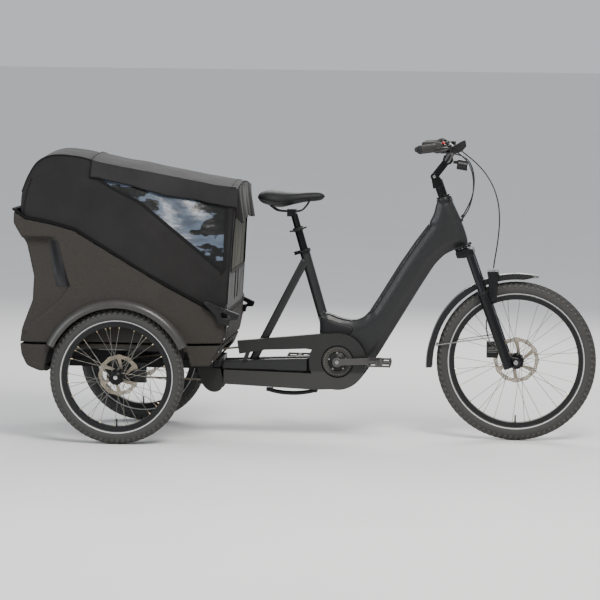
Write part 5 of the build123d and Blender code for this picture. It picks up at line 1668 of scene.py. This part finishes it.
place("kickstand_bosses", joined(bosses), "trim", "kickstand")

# ---- handlebar ----


def bar_point(side, along, ahead=0.0, up=0.0):
    """A point measured outward along the bar's straight end, ahead of it and above it, in millimetres."""
    start, end = mm(1236, side * 206, 1156), mm(1152, side * 336, 1148)
    outward = (end - start).normalized()
    forward = Vector((abs(outward.y), side * abs(outward.x), 0)).normalized()
    return start + outward * along / 1000 + forward * ahead / 1000 + Vector((0, 0, up / 1000))


LEVER_EYE = [(3.1, -4.6), (7.8, -4.6), (8.2, 0), (7.8, 4.6), (3.1, 4.6)]
for name, side in SIDES:
    rings = []
    for t in shares(24):
        along = between(18, 124, t)
        ahead = 42 + 5 * sin(pi * t) + 4 * t * t
        centre = bar_point(side, along, ahead, -2 * t)
        forward = (bar_point(side, along, ahead + 10) - bar_point(side, along, ahead)).normalized()
        high = between(5.0, 6.5, t) / 1000
        deep = between(6.5, 3.2, t) / 1000
        rings.append([centre + forward * (deep * cos(a)) + Vector((0, 0, high * sin(a))) for a in angles(14)])
    eye = turned_mm(LEVER_EYE, bar_point(side, 21, 42), (0, 0, 1), steps=24)
    body = f"{name}_brake_lever"
    place(f"{name}_lever_blade", joined([skin(rings, caps=True), eye]), "lamp", body, [body])


def rounded_plate(centre, width, depth, height, corner):
    """A flat plate on the display's tilted face, with rounded corners and a softened top edge."""
    across, forward = Vector((0, -1, 0)), Vector((0.94, 0, 0.34))
    up = across.cross(forward)
    w, d = width / 2, depth / 2
    outline = rounded([(-w, -d), (w, -d), (w, d), (-w, d)], corner, 5)
    rings = []
    for lift, share in ((0, 1.0), (0.7, 1.0), (0.92, 0.985), (1.0, 0.955)):
        middle = centre + up * (height * lift)
        rings.append([middle + across * (x * share) + forward * (y * share) for x, y in outline])
    return skin(rings, caps=True)


riser = [[mm(x, y, z) for x, y in ((1222, -14), (1250, -14), (1250, 14), (1222, 14))] for z in (1136, 1160)]
place("display_riser", skin(riser, caps=True), "trim", "handlebar", bevel=0.002)
place("display_case", rounded_plate(mm(1232, 0, 1158), 0.064, 0.044, 0.010, 0.008), "trim", "handlebar")
glass = rounded_plate(mm(1228.8, 0, 1167.5), 0.054, 0.034, 0.0012, 0.005)
place("display_glass", glass, "display", "handlebar")
controls = [button(bar_point(-1, 8, 6, 16), (0, 0, 1), 0.0065, 0.006, 14)]
controls.append(button(bar_point(-1, -6, 8, 15), (0, 0, 1), 0.005, 0.006, 14))
place("control_buttons", joined(controls), "grip", "handlebar")
place("red_button", button(bar_point(-1, 20, 12, 15), (0.3, -0.4, 1), 0.006, 0.005, 14), "red", "handlebar")
PADDLE = [(1258, 1136), (1266, 1156), (1300, 1176), (1317, 1183), (1322, 1158), (1305, 1138), (1280, 1128)]
PADDLE = rounded(PADDLE, 4, 3)
fin = []
for y, grow_by in ((-170, -1.2), (-168, 0), (-163, 0), (-161, -1.2)):
    fin.append([mm(x, y, z) for x, z in grown(PADDLE, grow_by)])
place("shift_paddle", skin(fin, caps=True), "trim", "handlebar", angle=CRISP)
COLLAR = [(10.5, -9), (16.5, -9), (17.5, -6), (17.5, 6), (16.5, 9), (10.5, 9)]
collar = turned_mm(COLLAR, mm(1253, -168, 1144), (-0.36, -0.9, 0.26), steps=28)
place("shift_collar", collar, "trim", "handlebar", angle=CRISP)
LAMP_FACE = (mm(1319.5, 0, 1076.4), (0.989, 0, -0.148))
lens = turned_mm([(0.1, 0), (16.5, 0), (16.5, 2), (13, 4), (7, 5.5), (0.1, 6)], *LAMP_FACE, steps=32)
place("headlight_lens", lens, "lens", "handlebar")
bezel = turned_mm([(16.5, 0), (20.5, 0), (20.8, 3), (18.5, 4.2), (16.5, 3)], *LAMP_FACE, steps=32)
place("headlight_bezel", bezel, "lamp", "handlebar")
stem_bolts = []
for x, half, z in ((1194, 20, 1033), (1246, 24, 1100)):
    for side in (-1, 1):
        stem_bolts.append(button(mm(x, side * half, z), (0, side, 0), 0.0065, 0.003, 6))
for y in (-16, 16):
    for angle in (40, 140):
        outward = spun(1, radians(angle))
        stem_bolts.append(button(mm(1246, y, 1100) + outward * 0.019, outward, 0.0035, 0.003, 6))
place("stem_bolts", joined(stem_bolts), "steel", "handlebar")

FLANGE = [(11.5, -12), (18.5, -12), (22.2, -7), (22.6, 4), (20.5, 13), (16.8, 19), (11.5, 19)]
PLUG = [(0.1, -2), (12.5, -2), (13.5, 0), (12.5, 2), (4, 2.8), (0.1, 2.8)]
for name, side in SIDES:
    outward = (bar_point(side, 100) - bar_point(side, 0)).normalized()
    flange = turned_mm(FLANGE, bar_point(side, 42), outward, steps=32)
    place(f"{name}_grip_flange", flange, "grip", "handlebar", angle=SOFT)
    plug = turned_mm(PLUG, bar_point(side, 161), outward, steps=28)
    place(f"{name}_bar_plug", plug, "lamp", "handlebar", angle=SOFT)

# ---- seat clamps and the tilt bracket ----
CLAMP_UP = 0.081
lever = [seat_at(CLAMP_UP, 0.030 * sin(radians(a)), 0.030 * cos(radians(a))) for a in range(150, 319, 12)]
lever = smooth_line([seat_at(CLAMP_UP, 0.006, -0.034)] + lever + [seat_at(CLAMP_UP, -0.014, 0.034)], 3)
CLAMP_RING = [(17.2, -6), (21.5, -6), (22.8, 0), (21.5, 6), (17.2, 6)]
upper_ring = turned_mm(CLAMP_RING, seat_at(CLAMP_UP), (-0.286, 0, 0.958), steps=36)
clamp = joined([tube(lever, 0.0036, 10), upper_ring])
place("upper_clamp_lever", clamp, "lamp", "outer_post", (), CRISP)
BRACKET = [(268, 268), (296, 196), (318, 176), (344, 170), (368, 180), (379, 214), (362, 268)]
plates = [prism(rounded(BRACKET, 12, 4), low, high, "y") for low, high in ((-64, -52), (52, 64))]
place("tilt_bracket", joined(plates), "bracket", "cargo_module", angle=CRISP, bevel=0.002)

# ---- fork details ----
UP_STEERING = (-0.342, 0, 0.94)
LEG_AHEAD = 0.026
LEG_Y = 0.065
CAP = [(14.5, 0), (26.5, 0), (27.5, 1.5), (26.5, 3), (14.5, 3)]
place("headset_cap", turned_mm(CAP, steer_at(-0.0006), UP_STEERING, steps=40), "steel", "steering")
CUP = [(15.5, 1), (29, 1), (30.5, -3), (31.8, -20), (30, -24), (15.5, -24)]
cup = turned_mm(CUP, steer_at(0), UP_STEERING, steps=40)
place("headset_cup", cup, "lamp", "front_frame", angle=CROWNED)
KNOB = [(0.1, 0), (17, 0), (17.5, 4), (15, 9), (0.1, 10.5)]
WIPER = [(16.2, 0), (21.5, 0), (21.5, 6), (18.5, 10), (16.2, 10.5)]
knobs, wipers, stanchions, axle_ends = [], [], [], []
for side in (-1, 1):
    y = side * LEG_Y
    knobs.append(turned_mm(KNOB, steer_at(0.209, LEG_AHEAD, y), UP_STEERING, steps=28))
    wipers.append(turned_mm(WIPER, steer_at(0.404, LEG_AHEAD, y), UP_STEERING, steps=32))
    stanchions.append(tube([steer_at(down, LEG_AHEAD, y) for down in (0.24, 0.42)], 0.0163, 32))
    axle_ends.append(button(mm(WHEELBASE, side * 74, FRONT_RADIUS), (0, side, 0), 0.010, 0.004, 6))
place("fork_caps", joined(knobs), "fork", "steering")
place("fork_wipers", joined(wipers), "trim", "fork_lowers")
place("fork_stanchions", joined(stanchions), "stanchion", "steering")
place("axle_ends", joined(axle_ends), "steel", "fork_lowers")

low, high = (Vector(corner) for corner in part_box("front_caliper"))
caliper_middle = (low + high) / 2
fittings = []
for along in (-0.24, 0.3):
    spot = Vector((caliper_middle.x, high.y, caliper_middle.z + along * (high.z - low.z)))
    fittings.append(button(spot, (0, 1, 0), 0.0055, 0.004, 6))
x0, x1, y0, y1 = low.x + 0.004, high.x - 0.004, low.y - 0.002, low.y + 0.003
plate = [(x0, y0), (x1, y0), (x1, y1), (x0, y1)]
for fin in range(4):
    z = between(low.z, high.z, 0.35 + 0.1 * fin)
    fittings.append(skin([[Vector((x, y, z + lift)) for x, y in plate] for lift in (0, 0.0016)], caps=True))
place("caliper_fittings", joined(fittings), "steel", "fork_lowers")

# ---- hoses and cables, each following its route's points ----
BRAKE_HOSE = [(1270, 196, 1146), (1304, 172, 1120), (1348, 147, 1088), (1390, 125, 1046), (1424, 106, 992)]
BRAKE_HOSE += [(1444, 91, 932), (1451, 80, 870), (1448, 71, 806), (1440, 65, 742), (1433, 62, 700)]
BRAKE_HOSE += [(1430, 60, 672)]
CLIPPED_HOSE = [(1430, 63, 665), (1431, 70, 620), (1422, 86, 560), (1409, 91, 501), (1404, 83, 452)]
CLIPPED_HOSE += [(1407, 62, 421), (1413, 47, 401), (1419, 41, 386)]
RIGHT_CABLE = [(1270, -196, 1146), (1306, -164, 1122), (1334, -126, 1088), (1348, -92, 1040)]
RIGHT_CABLE += [(1350, -66, 986), (1340, -44, 934), (1324, -28, 893), (1299, -18, 859)]
CENTRE_CABLE = [(1272, 44, 1120), (1304, 42, 1114), (1330, 38, 1092), (1345, 34, 1056), (1350, 29, 1014)]
CENTRE_CABLE += [(1346, 24, 970), (1333, 18, 926), (1303, 12, 872)]
CORD_R = 0.0025


def route_line(route):
    """Points along the smooth spline whose control points are a cord's route."""
    curve = bpy.data.curves.new("route", "CURVE")
    curve.dimensions = "3D"
    curve.resolution_u = 12
    spline = curve.splines.new("NURBS")
    spline.points.add(len(route) - 1)
    for target, p in zip(spline.points, route):
        target.co = (*mm(*p), 1)
    spline.order_u = 3
    spline.use_endpoint_u = True
    obj = add_object("route", curve)
    bpy.context.view_layer.update()
    mesh = bpy.data.meshes.new_from_object(obj)
    points = [v.co.copy() for v in mesh.vertices]
    bpy.data.objects.remove(obj)
    bpy.data.meshes.remove(mesh)
    return points


def lay_cord(name, points, bodies, replaces=()):
    """One cord, or a stretch of one, on a body or bent between two."""
    piece = place(name, tube(points, CORD_R, 12), "sheath", bodies[0] if len(bodies) == 1 else None, replaces)
    if len(bodies) == 2:
        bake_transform(piece)


def lay_in_halves(name, route, last_body, replaces=()):
    """A cord from the handlebar past the steering to another body, in two parts, each bent between two."""
    line = route_line(route)
    half = len(line) // 2
    lay_cord(f"{name}_upper", line[: half + 1], ("handlebar", "steering"), replaces)
    lay_cord(f"{name}_lower", line[half:], ("steering", last_body))


lay_in_halves("brake_hose", BRAKE_HOSE, "fork_lowers", ["front_brake_hose"])
lay_cord("brake_hose_clipped", route_line(CLIPPED_HOSE), ("fork_lowers",))
GROMMET = [(2.6, -4), (6.2, -4), (6.2, 4), (4.5, 7.5), (2.6, 8.5)]
grommets = []
for route in (RIGHT_CABLE, CENTRE_CABLE):
    before, end = mm(*route[-2]), mm(*route[-1])
    along = (before - end).normalized()
    grommets.append(turned_mm(GROMMET, end + along * 0.006, along, steps=20))
place("cable_grommets", joined(grommets), "trim", "front_frame", angle=CROWNED)
lay_in_halves("right_cable", RIGHT_CABLE, "front_frame", ["control_cables"])
lay_in_halves("centre_cable", CENTRE_CABLE, "front_frame")

# ---- floor, lights and camera ----
floor_mesh = bpy.data.meshes.new("floor")
floor_mesh.from_pydata([(-300, -60, 0), (300, -60, 0), (300, 400, 0), (-300, 400, 0)], [], [(0, 1, 2, 3)])
floor = add_object("floor", floor_mesh)
floor_finish = Nodes("floor_finish")
floor_tone = floor_finish.mix(floor_finish.noise(1.5, 4), (0.78, 0.775, 0.765), (0.84, 0.835, 0.825))
floor_mesh.materials.append(floor_finish.finish(floor_tone, 0.85))

world = bpy.data.worlds.new("studio")
bpy.context.scene.world = world
world.use_nodes = True
sky = world.node_tree.nodes["Background"].inputs
sky["Color"].default_value = (0.86, 0.89, 0.94, 1)
sky["Strength"].default_value = 0.7


def area_light(name, location, target, size, power, colour):
    light = bpy.data.lights.new(name, "AREA")
    light.shape = "RECTANGLE"
    light.size, light.size_y = size
    light.energy = power
    light.color = colour
    obj = add_object(name, light)
    obj.location = location
    obj.rotation_mode = "QUATERNION"
    obj.rotation_quaternion = (Vector(target) - Vector(location)).to_track_quat("-Z", "Y")


# place, target, size in metres, power in watts, colour
area_light("key", (1.5, -3.8, 4.6), (0, 0, 0.5), (2.2, 2.2), 330, (1, 0.975, 0.94))
area_light("fill", (-4.0, -3.5, 2.2), (-0.2, 0, 0.6), (3.0, 2.4), 110, (0.9, 0.95, 1))
area_light("back", (0.5, 4.2, 3.2), (0, 0, 0.6), (4.0, 1.6), 150, (1, 0.98, 0.95))

camera_data = bpy.data.cameras.new("camera")
camera = add_object("camera", camera_data)
bpy.context.scene.camera = camera
CAMERA_YAW = radians(-4.721)
CAMERA_PITCH = radians(4.824)
CAMERA_ROLL = radians(0.68)
camera_data.sensor_width = 36
camera_data.lens = 180
camera_data.clip_end = 200
camera.location = (0.930, -11.761, 1.533)
level = cos(CAMERA_PITCH)
forward = Vector((sin(CAMERA_YAW) * level, cos(CAMERA_YAW) * level, -sin(CAMERA_PITCH)))
camera.rotation_mode = "QUATERNION"
camera.rotation_quaternion = Quaternion(forward, -CAMERA_ROLL) @ forward.to_track_quat("-Z", "Y")
